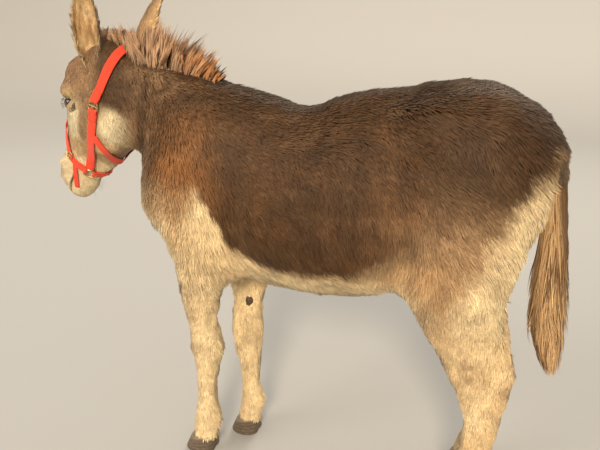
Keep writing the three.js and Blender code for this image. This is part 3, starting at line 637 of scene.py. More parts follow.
def head_markings(points):
    """The coat's colour on the head: grey brown, pale round the eyes, cheeks and muzzle."""
    place = to_head(points)
    left = mirrored(place)
    down, face, side = -place[:, 2], -place[:, 0], np.abs(place[:, 1])
    wander = drift(points, 0.03, 4)
    fine = drift(points, 0.009, 5)
    coat = mix(NECK_BROWN, FACE_GREY, ease(-0.030, 0.022, face + 0.35 * down))
    speckle = np.clip(0.35 * wander[:, 0] + 0.45 * fine[:, 0], 0, 1)
    coat = mix(coat, PATCH_GREY, speckle * 0.6)
    coat = mix(coat, CREAM, ease(0.16, 0.25, down + 0.03 * wander[:, 1]) * 0.65)
    nose = ease(0.030, 0.016, side) * ease(0.10, 0.18, down) * ease(0.35, 0.25, down)
    coat = mix(coat, FACE_GREY, nose * 0.6)
    throat = ease(-0.045, -0.070, face) * ease(0.10, 0.15, down)
    coat = mix(coat, CREAM, throat * 0.7)
    # The pale cheek and the pale patch under the eye are real marks, brightened further with painted
    # sunlight.
    cheek = head_blob(left, (160, -98, -76), (52, 44, 50)) * ease(0.095, 0.125, down)
    coat = mix(coat, PAINTED_SUNLIT_CREAM, np.clip(cheek * (1.9 + 0.3 * wander[:, 1]), 0, 1))
    under = head_blob(left, (192, 40, -66), (64, 38, 36))
    coat = mix(coat, PAINTED_SUNLIT_CREAM, np.clip(under * (2.6 + 0.3 * wander[:, 2]), 0, 1))
    over = head_blob(left, (120, 42, -84), (13, 26, 30))
    coat = mix(coat, CREAM, np.clip(over * 1.2, 0, 1) * 0.7)
    stripe = head_blob(left, (190, -14, -76), (60, 20, 34))
    coat = mix(coat, FACE_GREY, np.clip(stripe * (1.3 + 0.4 * fine[:, 2]), 0, 1) * 0.75)
    jaw = ease(0.050, 0.028, side) * ease(-0.050, -0.085, face) * ease(0.10, 0.16, down)
    coat = mix(coat, PATCH_GREY, jaw * 0.6)
    # The pale muzzle is a real mark, half of it brightened with painted sunlight.
    muzzle = ease(0.268, 0.312, down + 0.010 * wander[:, 2])
    coat = mix(coat, mix(PALE_CREAM, PAINTED_SUNLIT_CREAM, 0.5), muzzle)
    rims = ease(0.385, 0.402, down + 0.006 * fine[:, 1]) * ease(0.02, 0.05, face) * 0.35
    return mix(coat, BARE_SKIN, np.clip(bareness(points) + rims, 0, 1))


def markings(points):
    """The colour of the coat and of the skin under it, for each point."""
    return mix(body_markings(points), head_markings(points), headness(points))


# ---------------------------------------------------------------- the lie of the coat

# Places on the left side and the way the hair lies there, in the world's axes.
LIE = [
    ((-0.44, -0.06, 1.06), (0.75, -0.20, -0.60)),
    ((-0.36, -0.08, 1.00), (0.62, -0.12, -0.78)),
    ((-0.36, -0.07, 0.90), (0.55, 0.00, -0.85)),
    ((-0.24, -0.08, 1.03), (0.85, -0.25, -0.45)),
    ((-0.24, -0.15, 0.88), (0.45, 0.00, -0.90)),
    ((-0.31, -0.08, 0.76), (0.05, -0.20, -1.00)),
    ((-0.20, -0.17, 0.70), (0.25, 0.00, -0.97)),
    ((-0.05, -0.08, 1.00), (0.95, -0.30, -0.20)),
    ((-0.03, -0.17, 0.84), (0.80, 0.00, -0.60)),
    ((0.12, -0.10, 0.97), (0.95, -0.25, -0.15)),
    ((0.12, -0.20, 0.78), (0.75, 0.00, -0.66)),
    ((0.10, -0.13, 0.60), (0.85, 0.15, -0.45)),
    ((0.28, -0.19, 0.85), (0.60, 0.00, -0.80)),
    ((0.33, -0.18, 0.70), (-0.10, 0.00, -1.00)),
    ((0.34, -0.12, 1.03), (0.70, -0.60, -0.30)),
    ((0.46, -0.10, 1.05), (0.90, 0.10, -0.40)),
    ((0.50, -0.15, 0.93), (0.45, 0.00, -0.90)),
    ((0.46, -0.20, 0.78), (0.50, 0.00, -0.86)),
    ((0.60, -0.10, 0.93), (0.20, 0.25, -0.95)),
    ((0.56, -0.16, 0.75), (0.25, 0.10, -0.95)),
]
DOWN_LEG = (0.10, 0, -1.0)
# On the head, in its own axes.
DOWN_FACE = (0.12, 0, -1.0)
BACK_CHEEK = (0.75, 0, -0.66)


def lie_of_coat(points, normals):
    """The way the hair lies at each point, along the skin."""
    left = mirrored(points)
    flow = np.zeros_like(points)
    for place, way in LIE:
        weight = 1 / (np.sum((left - place) ** 2, axis=1) + 0.003) ** 2
        flow += weight[:, None] * unit(np.array(way))
    leg = np.maximum(legness(points), dockness(points))
    flow = mix(unit(flow), DOWN_LEG, leg)
    flow[:, 1] *= -np.clip(points[:, 1] / (40 * MM), -1, 1)
    cheek = ease(0.05, -0.04, -to_head(points)[:, 0])
    on_face = mix(head_direction(DOWN_FACE), head_direction(BACK_CHEEK), cheek)
    flow = mix(flow, on_face, headness(points))
    wander = drift(points, 0.09, 6) * 0.34 + drift(points, 0.025, 7) * 0.26
    flow = unit(flow) + wander * (1 - 0.6 * headness(points))[:, None]
    return laid_flat(flow, normals)


# ---------------------------------------------------------------- tufts

RING = np.array([(-0.5, 0.0), (0.5, 0.0), (0.0, 0.55)])  # a tuft's section: across, up from the skin
SOFT_NORMALS = 0.68  # how much of the skin's normal a tuft's shading takes
BAKE_PATCH = 0.003  # how wide a tuft's patch is in the map that its colours are baked through
MAP_MARGIN = 0.02


def in_map(shares):
    """Places in the map from shares of its width and height, kept off its edges."""
    return MAP_MARGIN + (1 - 2 * MAP_MARGIN) * shares


def flat_map(points, axes):
    """Places in the map from where the points are along two of their axes."""
    shares = (points - points.min(axis=0)) / np.ptp(points, axis=0)
    return in_map(shares[:, axes])


class Tufts:
    """Many tapered locks, each with its root, its path and its colours from root to tip."""

    def __init__(self, path, width, across, colours, normals, root_map=None):
        self.path = path  # tuft, station, xyz
        self.width = width  # tuft, station
        self.across = across  # tuft, xyz
        self.colours = colours  # tuft, station, rgb
        self.normals = normals  # tuft, xyz: the skin's own normal at the root
        self.root_map = root_map  # tuft, uv

    def chosen(self, which, root_map):
        return Tufts(self.path[which], self.width[which], self.across[which], self.colours[which],
                     self.normals[which], root_map)


def tuft_vertices(tufts):
    """Each tuft's vertices and the normals it is shaded with: a point, rings of three, a point."""
    along = np.gradient(tufts.path, axis=1)
    across = np.broadcast_to(tufts.across[:, None], along.shape)
    rise = unit(np.cross(unit(along), across))
    places, facing = [tufts.path[:, 0]], [tufts.normals]
    for station in range(1, tufts.path.shape[1] - 1):
        width = tufts.width[:, station, None]
        for u, v in RING:
            offset = across[:, station] * u + rise[:, station] * v
            places.append(tufts.path[:, station] + offset * width)
            own = unit(across[:, station] * u + rise[:, station] * (v - 0.1))
            facing.append(unit(tufts.normals * SOFT_NORMALS + own * (1 - SOFT_NORMALS)))
    places.append(tufts.path[:, -1])
    facing.append(tufts.normals)
    return np.stack(places, axis=1), np.stack(facing, axis=1)


def tuft_faces(stations):
    """The triangles of one tuft with this many places along it."""
    faces = [(0, 1 + (side + 1) % 3, 1 + side) for side in range(3)]
    for station in range(stations - 3):
        for side in range(3):
            a, b = 1 + station * 3 + side, 1 + station * 3 + (side + 1) % 3
            faces += [(a, b, b + 3), (a, b + 3, a + 3)]
    last = 1 + (stations - 3) * 3
    faces += [(last + side, last + (side + 1) % 3, last + 3) for side in range(3)]
    return np.array(faces)


def tuft_object(name, tufts, material):
    """One closed mesh for each tuft, joined in one object, with a map to bake its colours to."""
    count, stations = tufts.path.shape[:2]
    vertices, normals = tuft_vertices(tufts)
    corners = vertices.shape[1]
    first = (np.arange(count) * corners)[:, None, None]
    faces = (tuft_faces(stations)[None] + first).reshape(-1, 3)
    station_of = np.array([0] + [1 + i // 3 for i in range(corners - 2)] + [stations - 1])
    colours = tufts.colours[:, station_of].reshape(-1, 3)
    obj = mesh_object(name, vertices.reshape(-1, 3), faces, material, colours)
    obj.data.normals_split_custom_set_from_vertices(normals.reshape(-1, 3))

    ring_u = [RING[i % 3][0] for i in range(corners - 2)]
    patch = np.stack([[0, *ring_u, 0], station_of / (stations - 1) - 0.5], axis=1)
    centre = np.clip(tufts.root_map, BAKE_PATCH, 1 - BAKE_PATCH)
    places = (centre[:, None] + patch[None] * BAKE_PATCH).reshape(-1, 2)[faces.ravel()]
    layer = obj.data.uv_layers.new(name="OFBake")
    layer.data.foreach_set("uv", places.astype(np.float32).ravel())
    return obj


def scatter(mesh, spacing):
    """Root points and normals over a mesh; spacing is a function of points, in metres."""
    mesh.calc_loop_triangles()
    faces = rows_of(mesh.loop_triangles, "vertices", 3, np.int32)
    points, normals = positions(mesh), vertex_normals(mesh)
    corner = points[faces]
    area = np.linalg.norm(np.cross(corner[:, 1] - corner[:, 0], corner[:, 2] - corner[:, 0]), axis=1) / 2
    wanted = area / spacing(corner.mean(axis=1)) ** 2
    number = np.floor(wanted + RANDOM.random(len(wanted))).astype(int)
    face = np.repeat(np.arange(len(faces)), number)
    u, v = RANDOM.random((2, len(face)))
    over = u + v > 1
    u, v = np.where(over, 1 - u, u), np.where(over, 1 - v, v)
    weights = np.stack([1 - u - v, u, v], axis=1)[..., None]
    root = (points[faces[face]] * weights).sum(axis=1)
    normal = unit((normals[faces[face]] * weights).sum(axis=1))
    return root, normal


def away_from_eyes(points):
    """False on the eyes and their lids, which have fur of their own."""
    left = mirrored(to_head(points))
    reach = np.linalg.norm((left - np.array(EYE_PLACE)) / (1, 1, 1.15), axis=1)
    return reach > EYE_RADIUS * 1.12


CLUMP = 10 * MM  # how far apart the locks of the coat are
ROOT_TO_TIP = np.array((0.90, 1.0, 1.10))  # how dark and light a tuft is along its length: darker at the root as painted shade deep in the coat, lighter at the tip as painted light
SHADE_LIMITS = (0.004, 0.92)
TUFT_ROOT = 1.2 * MM  # how deep its foot is in the skin


def gathered(root, tips, pull):
    """Draws the tips of neighbouring tufts together into locks, and gives each its lock."""
    centres = root[RANDOM.random(len(root)) < (of_coat(root, "spacing") / CLUMP) ** 2]
    lock = nearest(centres, root)
    return tips + (centres[lock] - root) * np.reshape(pull, (-1, 1)), lock


def short_tufts(root, normal, flow, length, width, stand, colour, pull=0.0):
    """Short tufts that lie along the flow; length, width, height of the tip and pull into locks
    are one number or one for each."""
    count = len(root)
    length = length * RANDOM.uniform(0.75, 1.25, count)
    width = width * RANDOM.uniform(0.8, 1.2, count)
    stand = stand * RANDOM.uniform(0.60, 0.98, count)
    run = np.sqrt(np.maximum(length ** 2 - stand ** 2, 1e-8))
    tips = root + flow * run[:, None]
    tips, lock = gathered(root, tips, pull)
    middle = root * 0.60 + tips * 0.40 + normal * (stand * 0.66)[:, None]
    tips = tips + normal * stand[:, None]
    foot = root - flow * (0.22 * length)[:, None] - normal * TUFT_ROOT
    path = np.stack([foot, middle, tips], axis=1)
    widths = width[:, None] * (0, 1, 0)
    across = unit(np.cross(flow, normal))
    tone = RANDOM.normal(1, 0.09, lock.max() + 1)[lock] * RANDOM.normal(1, 0.08, count)
    streak = 1 + 0.20 * drift(root, 0.035, 8)[:, 0]
    # Random tone for each lock and tuft, times the painted shade at the root and painted light at the tip.
    shade = (np.clip(tone, 0.65, 1.4) * streak)[:, None] * ROOT_TO_TIP
    colours = np.clip(colour[:, None] * shade[:, :, None], *SHADE_LIMITS)
    return Tufts(path, widths, across, colours, normal)


def single_hairs(path, width, across, colour, normals, root_map):
    """Stiff hairs of one width and colour, each with a path of three places."""
    widths = np.full((len(path), 1), width) * (0, 1, 0)
    colours = np.broadcast_to(colour, path.shape)
    return Tufts(path, widths, unit(across), colours, normals, root_map)


def coat_tufts():
    """The tufts of the whole coat, away from the eyes, lips, nostrils and the tail's hair."""
    root, normal = scatter(SKIN.data, lambda points: of_coat(points, "spacing"))
    bare_dock = (root[:, 0] > DOCK_X) & (root[:, 2] < DOCK_COAT_END)
    keep = away_from_eyes(root) & ~bare_dock & (bareness(root) < 0.45)
    root, normal = root[keep], normal[keep]
    length, width, depth = [of_coat(root, measure) for measure in ("length", "width", "depth")]
    pull = np.where(headness(root) > 0.5, 0.12, 0.30)
    return short_tufts(root, normal, lie_of_coat(root, normal), length, width, depth, markings(root), pull)


# The lines that the maps of the coat's pieces are wrapped around.
TRUNK_AXIS = ((-0.34, 0, 0.80), (0.63, 0, 0.84))
NECK_AXIS = ((-0.28, 0, 0.80), (-0.48, 0, 1.02))
HEAD_AXIS = (from_head((0, 0, 0.02)), from_head((0, 0, -0.40)))
TRUNK_HALF_X = 0.17  # where the trunk's coat is parted into front and rear
NECK_END_X, NECK_END_Z = -0.27, 0.72  # ahead of and above this is the neck's coat


def leg_axis(end, side):
    """A line from the middle of the upper leg to the foot."""
    lower = box_middle(f"{end}leg_lower_{side}")
    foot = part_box(f"{end}leg_lower_{side}")[0].z
    return box_middle(f"{end}leg_upper_{side}"), (lower.x, lower.y, foot)


def wrapped(points, axis):
    """Each point's place on an unwrap around an axis: along it, and the angle round it."""
    start, end = np.array(axis[0]), np.array(axis[1])
    along = end - start
    share = (points - start) @ along / (along @ along)
    offset = points - start - share[:, None] * along
    direction = along / np.linalg.norm(along)
    up = unit(np.cross(direction, (0, 1, 0)))
    angle = np.arctan2(offset[:, 1], offset @ up)
    spread = (share - share.min()) / max(np.ptp(share), 1e-9)
    return in_map(np.stack([spread, angle / (2 * math.pi) + 0.5], axis=1))


def coat_pieces(root):
    """Yields each coat piece's name, its slot, its roots and its map's axis."""
    x, y, z = root.T
    head = headness(root) > 0.5
    neck = ~head & (x < NECK_END_X) & (z > NECK_END_Z)
    for side, sign in SIDES.items():
        here = y * sign >= 0
        yield f"coat_head_{side}", "coat_head", head & here, HEAD_AXIS
        yield f"coat_neck_{side}", "coat_body", neck & here, NECK_AXIS
        leg = ~head & ~neck & here & (legness(root) > 0.05) & (dockness(root) < 0.5)
        yield f"coat_foreleg_{side}", "coat_legs", leg & (x < LEG_SPLIT_X), leg_axis("fore", side)
        yield f"coat_hindleg_{side}", "coat_legs", leg & (x >= LEG_SPLIT_X), leg_axis("hind", side)
        trunk = ~head & ~neck & ~leg & here
        yield f"coat_trunk_front_{side}", "coat_body", trunk & (x < TRUNK_HALF_X), TRUNK_AXIS
        yield f"coat_trunk_rear_{side}", "coat_body", trunk & (x >= TRUNK_HALF_X), TRUNK_AXIS


def build_coat(material):
    """The coat, parted into pieces that each ride as the flesh under them."""
    tufts = coat_tufts()
    root = tufts.path[:, 0]
    for name, slot, chosen, axis in coat_pieces(root):
        piece = tuft_object(name, tufts.chosen(chosen, wrapped(root[chosen], axis)), material)
        register(piece, slot)


# ---------------------------------------------------------------- long hair


def spline(values, at):
    """Catmull-Rom through rows of values, at positions counted in rows."""
    values = np.asarray(values, dtype=float)
    last = len(values) - 1
    step = np.clip(np.floor(at).astype(int), 0, last - 1)
    t = (at - step)[:, None]
    before, a = values[np.maximum(step - 1, 0)], values[step]
    b, after = values[step + 1], values[np.minimum(step + 2, last)]
    return 0.5 * (2 * a + (b - before) * t + (2 * before - 5 * a + 4 * b - after) * t ** 2
                  + (3 * a - before - 3 * b + after) * t ** 3)


def long_tufts(path, width, across, colour, shades, normals, root_map):
    """Long locks along given paths; colour is for each lock, shades along its length, which paint shade at
    the root and light at the tip.
    """
    stations = path.shape[1]
    taper = np.interp(np.arange(stations) / (stations - 1), (0, 0.2, 0.7, 1), (0.8, 1, 0.8, 0))
    along = np.interp(np.arange(stations) / (stations - 1), (0, 0.5, 1), shades)
    colours = np.clip(colour[:, None] * along[None, :, None], *SHADE_LIMITS)
    return Tufts(path, width[:, None] * taper, across, colours, normals, root_map)


# The mane from the poll back: x and its top, as drawn, and how far its hair leans back.
MANE = [(-664, 1190, -0.10), (-622, 1184, -0.02), (-574, 1199, 0.10), (-520, 1203, 0.25),
        (-480, 1188, 0.38), (-437, 1165, 0.50), (-396, 1138, 0.60), (-362, 1104, 0.65),
        (-334, 1072, 0.65)]
MANE_LOCKS = 5400
MANE_SPIKES = 300
MANE_STATIONS = 5
MANE_HALF_WIDTH = 22 * MM
MANE_ROOT = 4 * MM  # how deep its locks start in the skin
MANE_SHADES = (0.25, 0.78, 1.40)  # how dark and light a lock is at its root, middle and tip: the dark root is painted shade inside the mane, the light tip painted light
ABOVE_MANE = 1.4


def mane_places(count):
    """Where locks stand in the mane, and the height and lean that the mane has there."""
    place = RANDOM.random(count)
    x, top, lean = spline(MANE, place * (len(MANE) - 1)).T
    x = x * MM + AXIS_SHIFT.x
    y = np.clip(RANDOM.normal(0, 0.55, count), -1.15, 1.15) * MANE_HALF_WIDTH
    return place, x, y, top * MM, lean


def mane_colours(place, own):
    """Pale at the poll and more orange to the back, with dark spikes among them."""
    back = ease(0.42, 0.90, place + RANDOM.normal(0, 0.10, MANE_SPIKES)[own])
    colour = mix(MANE_PALE, MANE_ORANGE, back)
    dark = RANDOM.normal(0.4, 0.40, MANE_SPIKES)[own] + RANDOM.normal(0, 0.2, MANE_LOCKS)
    colour = mix(colour, MANE_DARK, ease(0.55, 1.3, dark) * 0.75)
    return colour * RANDOM.normal(1, 0.12, (MANE_LOCKS, 1))


def build_mane(skin_tree, material):
    """Upright locks that gather to the tips of spikes."""
    place, x, y, top, _ = mane_places(MANE_LOCKS)
    above = [Vector((a, b + AXIS_SHIFT.y, ABOVE_MANE)) for a, b in zip(x, y)]
    foot = np.array([skin_tree.ray_cast(start, Vector((0, 0, -1)))[0].z for start in above])
    _, spike_x, spike_y, _, spike_lean = mane_places(MANE_SPIKES)
    own = nearest(np.column_stack([spike_x, spike_y, np.zeros(MANE_SPIKES)]),
                  np.column_stack([x, y, np.zeros(MANE_LOCKS)]))
    outward = spike_y / MANE_HALF_WIDTH
    spike_lean = spike_lean + RANDOM.normal(0, 0.26, MANE_SPIKES)
    spike_splay = outward * 0.26 + RANDOM.normal(0, 0.15, MANE_SPIKES)
    reach = RANDOM.uniform(0.58, 1.12, MANE_SPIKES) - 0.36 * outward ** 2
    height = (top - foot) * np.minimum(reach[own] * RANDOM.uniform(0.55, 1.0, MANE_LOCKS), 1.03)
    lean = spike_lean[own] + RANDOM.normal(0, 0.07, MANE_LOCKS)
    splay = spike_splay[own] + RANDOM.normal(0, 0.05, MANE_LOCKS)
    stations = np.linspace(0, 1, MANE_STATIONS)
    gather = 0.62 * stations[None] ** 1.4
    path = np.empty((MANE_LOCKS, MANE_STATIONS, 3))
    path[..., 0] = x[:, None] + (spike_x[own] - x)[:, None] * gather
    path[..., 1] = y[:, None] + (spike_y[own] - y)[:, None] * gather + AXIS_SHIFT.y
    path[..., 0] += (lean * height)[:, None] * stations ** 1.35
    path[..., 1] += (splay * height)[:, None] * stations ** 1.2
    path[..., 2] = foot[:, None] - MANE_ROOT + (height[:, None] + MANE_ROOT) * stations
    colour = mane_colours(place, own)
    across = unit(np.column_stack([RANDOM.normal(1, 0.3, MANE_LOCKS), RANDOM.normal(0, 0.5, MANE_LOCKS),
                                   np.zeros(MANE_LOCKS)]))
    facing = unit(np.column_stack([np.zeros(MANE_LOCKS), y / MANE_HALF_WIDTH,
                                   np.full(MANE_LOCKS, 0.35)]))
    width = RANDOM.uniform(1.6, 3.4, MANE_LOCKS) * MM
    tufts = long_tufts(path, width, across, colour, MANE_SHADES, facing, flat_map(path[:, 0], (0, 1)))
    register(tuft_object("mane_hair", tufts, material), "mane_hair", "mane")


# The tail's outline as drawn: height, front x, rear x, half width.
TAIL = [(925, 434, 496, 29), (880, 456, 514, 29), (820, 468, 520, 28), (740, 474, 528, 27),
        (660, 474, 536, 29), (590, 474, 542, 32), (530, 476, 548, 34), (470, 488, 552, 32),
        (420, 502, 550, 24), (380, 520, 546, 14), (366, 528, 542, 8)]
TAIL_LOCKS = 3600
TAIL_STATIONS = 6
# How dark and light a tail lock is at its root, middle and tip: darker at the root as painted shade,
# lighter at the tip as painted light.
TAIL_SHADES = (0.80, 1.05, 1.10)
TAIL_TOP = 0.900
LAST_START = 0.46  # the lowest height where locks start
TAIL_MAP_FOOT = 0.45
TAIL_TIP = 0.368
DOCK_END = 0.645


def tail_section(height):
    """The middle, half depth and half width of the tail at given heights."""
    rows = np.array(TAIL, dtype=float)[::-1] * MM
    front, rear, half = [np.interp(height, rows[:, 0], rows[:, k]) for k in (1, 2, 3)]
    return (front + rear) / 2 + AXIS_SHIFT.x, (rear - front) / 2, half


def tail_paths(start, end, angle):
    """Paths down the tail's outline, with waves that grow towards the tips."""
    on_dock = ease(DOCK_END - 0.03, DOCK_END + 0.03, start)
    outward = np.sqrt(RANDOM.uniform(0.25, 1.0, TAIL_LOCKS)) * (1 - on_dock) + on_dock
    share = np.linspace(0, 1, TAIL_STATIONS)
    height = start[:, None] + (end - start)[:, None] * share
    middle, deep, half = tail_section(height)
    turn = angle[:, None] + 0.35 * share * RANDOM.normal(0, 1, TAIL_LOCKS)[:, None]
    under = 0.35 - 0.13 * on_dock[:, None]
    out = outward[:, None] * (1 - under * np.interp(share, (0, 0.25), (1, 0)))
    path = np.empty((TAIL_LOCKS, TAIL_STATIONS, 3))
    path[..., 0] = middle + deep * out * np.cos(turn)
    path[..., 1] = AXIS_SHIFT.y + half * out * np.sin(turn)
    path[..., 2] = height
    wave = drift(path.reshape(-1, 3) * (1, 1, 0.30), 0.020, 12).reshape(path.shape)
    loose = RANDOM.uniform(0.7, 1.6, TAIL_LOCKS) + 1.7 * (RANDOM.random(TAIL_LOCKS) < 0.14)
    path += wave * (4.2 * MM) * share[None, :, None] * loose[:, None, None]
    flared = (RANDOM.random(TAIL_LOCKS) < 0.20) * (end < 0.62)
    flare = 1 + 0.34 * flared[:, None] * share ** 2
    path[..., 0] = middle + (path[..., 0] - middle) * flare
    path[..., 1] = AXIS_SHIFT.y + (path[..., 1] - AXIS_SHIFT.y) * flare
    return path


def tail_colours(roots, start, angle):
    """Blonde and red brown strands, pale at the front of the dock and dark down its back."""
    strand = drift(roots * (1, 1, 0.15), 0.007, 13)[:, 0]
    tone = RANDOM.random(TAIL_LOCKS) * 0.6 + 0.42 + 0.35 * strand
    colour = mix(TAIL_RED, TAIL_BLONDE, ease(0.22, 0.84, tone))
    front = ease(0.80, 0.90, start) * ease(0.3, -0.3, np.cos(angle))
    colour = mix(colour, CREAM, front * 0.8)
    dorsal = ease(-0.1, 0.6, np.cos(angle)) * ease(0.66, 0.82, start)
    return mix(colour, BACK_BROWN, dorsal * 0.85) * RANDOM.normal(1, 0.16, (TAIL_LOCKS, 1))


def build_tail(material):
    """Layers of locks that hang from the dock's sides and from one another to a thin tip."""
    start = TAIL_TOP - (TAIL_TOP - LAST_START) * RANDOM.random(TAIL_LOCKS) ** 1.15
    length = RANDOM.uniform(0.10, 0.24, TAIL_LOCKS)
    end = np.maximum(start - length, TAIL_TIP + 0.15 * RANDOM.random(TAIL_LOCKS) ** 1.5)
    angle = RANDOM.uniform(-math.pi, math.pi, TAIL_LOCKS)
    path = tail_paths(start, end, angle)
    colour = tail_colours(path[:, 0], start, angle)
    level = np.zeros(TAIL_LOCKS)
    across = np.column_stack([-np.sin(angle), np.cos(angle), level])
    facing = np.column_stack([np.cos(angle), np.sin(angle), level])
    shares = [angle / (2 * math.pi) + 0.5, (start - TAIL_MAP_FOOT) / (TAIL_TOP - TAIL_MAP_FOOT)]
    width = RANDOM.uniform(1.7, 3.6, TAIL_LOCKS) * MM
    tufts = long_tufts(path, width, across, colour, TAIL_SHADES, facing,
                       in_map(np.column_stack(shares)))
    register(tuft_object("tail_hair", tufts, material), "tail_hair", "tail_brush")


# ---------------------------------------------------------------- ears

# Along the ear, radius of the cup, half angle that it wraps and wall, as drawn.
EAR_SECTIONS = [(0.00, 20, 150, 8), (0.14, 24, 136, 8), (0.28, 29, 112, 9), (0.44, 33, 90, 9),
                (0.60, 35, 75, 9), (0.76, 32, 63, 8), (0.90, 23, 56, 7), (1.00, 6, 60, 3)]

# Each ear's axis from inside the head to the tip, and the way its cup opens, as drawn.
EARS = {
    "left": (((-658, -52, 1068), (-655, -84, 1170), (-646, -94, 1290)), (0.35, -0.94, 0)),
    "right": (((-630, 50, 1080), (-588, 98, 1130), (-522, 112, 1286)), (0.53, 0.85, 0)),
}
EAR_RINGS = 56
EAR_COLUMNS = 22  # points across the back, and again across the inside
EAR_RING_POINTS = 2 * EAR_COLUMNS
EAR_COAT = 2.2 * MM
EAR_SPACING = 2.7 * MM


class Ear:
    """One ear's skin as rings of points, each the back from rim to rim and then the inside.

    Each point also has its share of the way along the ear, its place across the cup from -1 to 1,
    and 1 or less for being inside and for being at the rim.
    """

    def __init__(self, side):
        axis, opens = EARS[side]
        a, b, c = [np.array(p) * MM + np.array(AXIS_SHIFT) for p in axis]
        at = np.linspace(0, 1, EAR_RINGS)
        rows = np.array(EAR_SECTIONS, dtype=float)
        self.radius, self.wrap, wall = interpolated(at, rows[:, 0], rows[:, 1:]).T
        for _ in range(3):
            for profile in (self.radius, self.wrap, wall):
                profile[1:-1] = (profile[:-2] + 2 * profile[1:-1] + profile[2:]) / 4
        t = at[:, None]
        self.centre = a * (1 - t) ** 2 + 2 * b * t * (1 - t) + c * t ** 2
        self.tangent = unit(2 * (b - a) * (1 - t) + 2 * (c - b) * t)
        self.front = laid_flat(np.array(opens), self.tangent)
        self.across = np.cross(self.tangent, self.front)
        share = np.linspace(-1, 1, EAR_COLUMNS)
        coat = EAR_COAT / MM
        thick = np.minimum(wall, self.radius * 0.8)[:, None] * np.sqrt(1.05 - share ** 2) - coat
        folds = 0.9 * np.cos(share * 11) * (1 - share ** 2) * np.sin(math.pi * at)[:, None]
        back = self.surface(share, coat)
        inside = self.surface(share * 0.94, np.maximum(thick + folds, coat + 0.8))
        self.points = np.concatenate([back, inside[:, ::-1]], axis=1).reshape(-1, 3)
        self.column = np.tile(np.arange(EAR_RING_POINTS), EAR_RINGS)
        self.along = np.repeat(at, EAR_RING_POINTS)
        self.inside = (self.column >= EAR_COLUMNS).astype(float)
        step = self.column % EAR_COLUMNS
        self.rim = ease(3.5, 0.5, np.minimum(step, EAR_COLUMNS - 1 - step))
        self.share = np.tile(np.concatenate([share, share[::-1]]), EAR_RINGS)

    def surface(self, share, depth):
        """Points across the cup, at a depth in millimetres from its outer wall."""
        angle = share[None, :] * np.radians(self.wrap)[:, None]
        reach = np.maximum(self.radius[:, None] - depth, 0.6) * MM
        return (self.centre[:, None] + self.across[:, None] * (reach * np.sin(angle))[..., None]
                - self.front[:, None] * (reach * np.cos(angle))[..., None])


def ear_colours(ear, which, points):
    """Grey brown outside, paler to the front, with a dark rim; cream and ochre streaks inside."""
    along, share = ear.along[which], ear.share[which]
    streak = drift(points * (1, 1, 0.25), 0.007, 14)[:, 0]
    outer = mix(FACE_GREY, CREAM, ease(0.1, -0.8, share) * 0.75)
    outer = mix(outer, EAR_RIM, ease(0.80, 0.98, along) * 0.9)
    ochre = np.clip(0.15 + 0.45 * ease(0.10, 0.5, along) + 0.5 * streak, 0, 1)
    inner = mix(PALE_CREAM, EAR_OCHRE, ochre)
    inner = mix(inner, FACE_GREY, ease(0.1, 0.7, streak) * 0.55)
    inner = mix(inner, EAR_RIM, ease(0.90, 1.0, along) * 0.7)
    colour = mix(mix(outer, inner, ear.inside[which]), FACE_GREY, ease(0.18, 0.04, along) * 0.85)
    rim = ear.rim[which] * ease(0.2, 0.6, along) * ease(-0.9, 0.3, share)
    return mix(colour, EAR_RIM, rim * 0.6)


def ear_tufts(ear, mesh):
    """Short fur outside and longer hair in the cup, most of it along the rims."""
    root, normal = scatter(mesh, lambda points: EAR_SPACING)
    near = nearest(ear.points, root)
    ring = near // EAR_RING_POINTS
    along = ear.along[near]
    toward = ear.tangent[ring] + ear.across[ring] * RANDOM.normal(0, 0.18, len(root))[:, None]
    long_hair = ear.inside[near] * (0.35 + 0.65 * ear.rim[near])
    long_hair = long_hair * ease(0.95, 0.6, along) * ease(0.02, 0.24, along)
    flow = laid_flat(toward + ear.front[ring] * (0.5 * long_hair)[:, None], normal)
    length = (8.5 + 15 * long_hair) * MM
    stand = EAR_COAT * (0.95 + 1.6 * long_hair)
    tufts = short_tufts(root, normal, flow, length, 2.0 * MM, stand, ear_colours(ear, near, root), 0.2)
    tufts.root_map = in_map(np.column_stack([ear.column[near] / EAR_RING_POINTS, along]))
    return tufts


def build_ear(side, skin_hair, coat):
    """One ear's skin, and the hair on it."""
    ear = Ear(side)
    quads = [(a, d, c, b) for a, b, c, d in ring_quads(EAR_RINGS, EAR_RING_POINTS)]
    # The ear's skin is painted a little darker than its hair: painted shade under the fur.
    colour = ear_colours(ear, slice(None), ear.points) * 0.9
    piece = mesh_object(f"ear_skin_{side}", ear.points, quads, skin_hair, colour)
    register(piece, "coat_head", f"ear_{side}")
    hair = tuft_object(f"ear_hair_{side}", ear_tufts(ear, piece.data), coat)
    register(hair, "coat_head")


# ---------------------------------------------------------------- eyes

IRIS = (0.055, 0.022, 0.008)
PUPIL = (0.003, 0.003, 0.004)
SCLERA = (0.16, 0.11, 0.08)
LID_SKIN = (0.040, 0.026, 0.020)
EYE_RINGS = 40
EYE_COLUMNS = 48
# Angles at the eye's middle, in radians: the pupil's and the opening's half length and height.
PUPIL_HALF = (0.36, 0.17)
LID_LENGTH = 1.00
LID_UP = 0.56
LID_DOWN = 0.40
LID_FUR_FROM = 0.16  # how far beyond the opening the fur starts


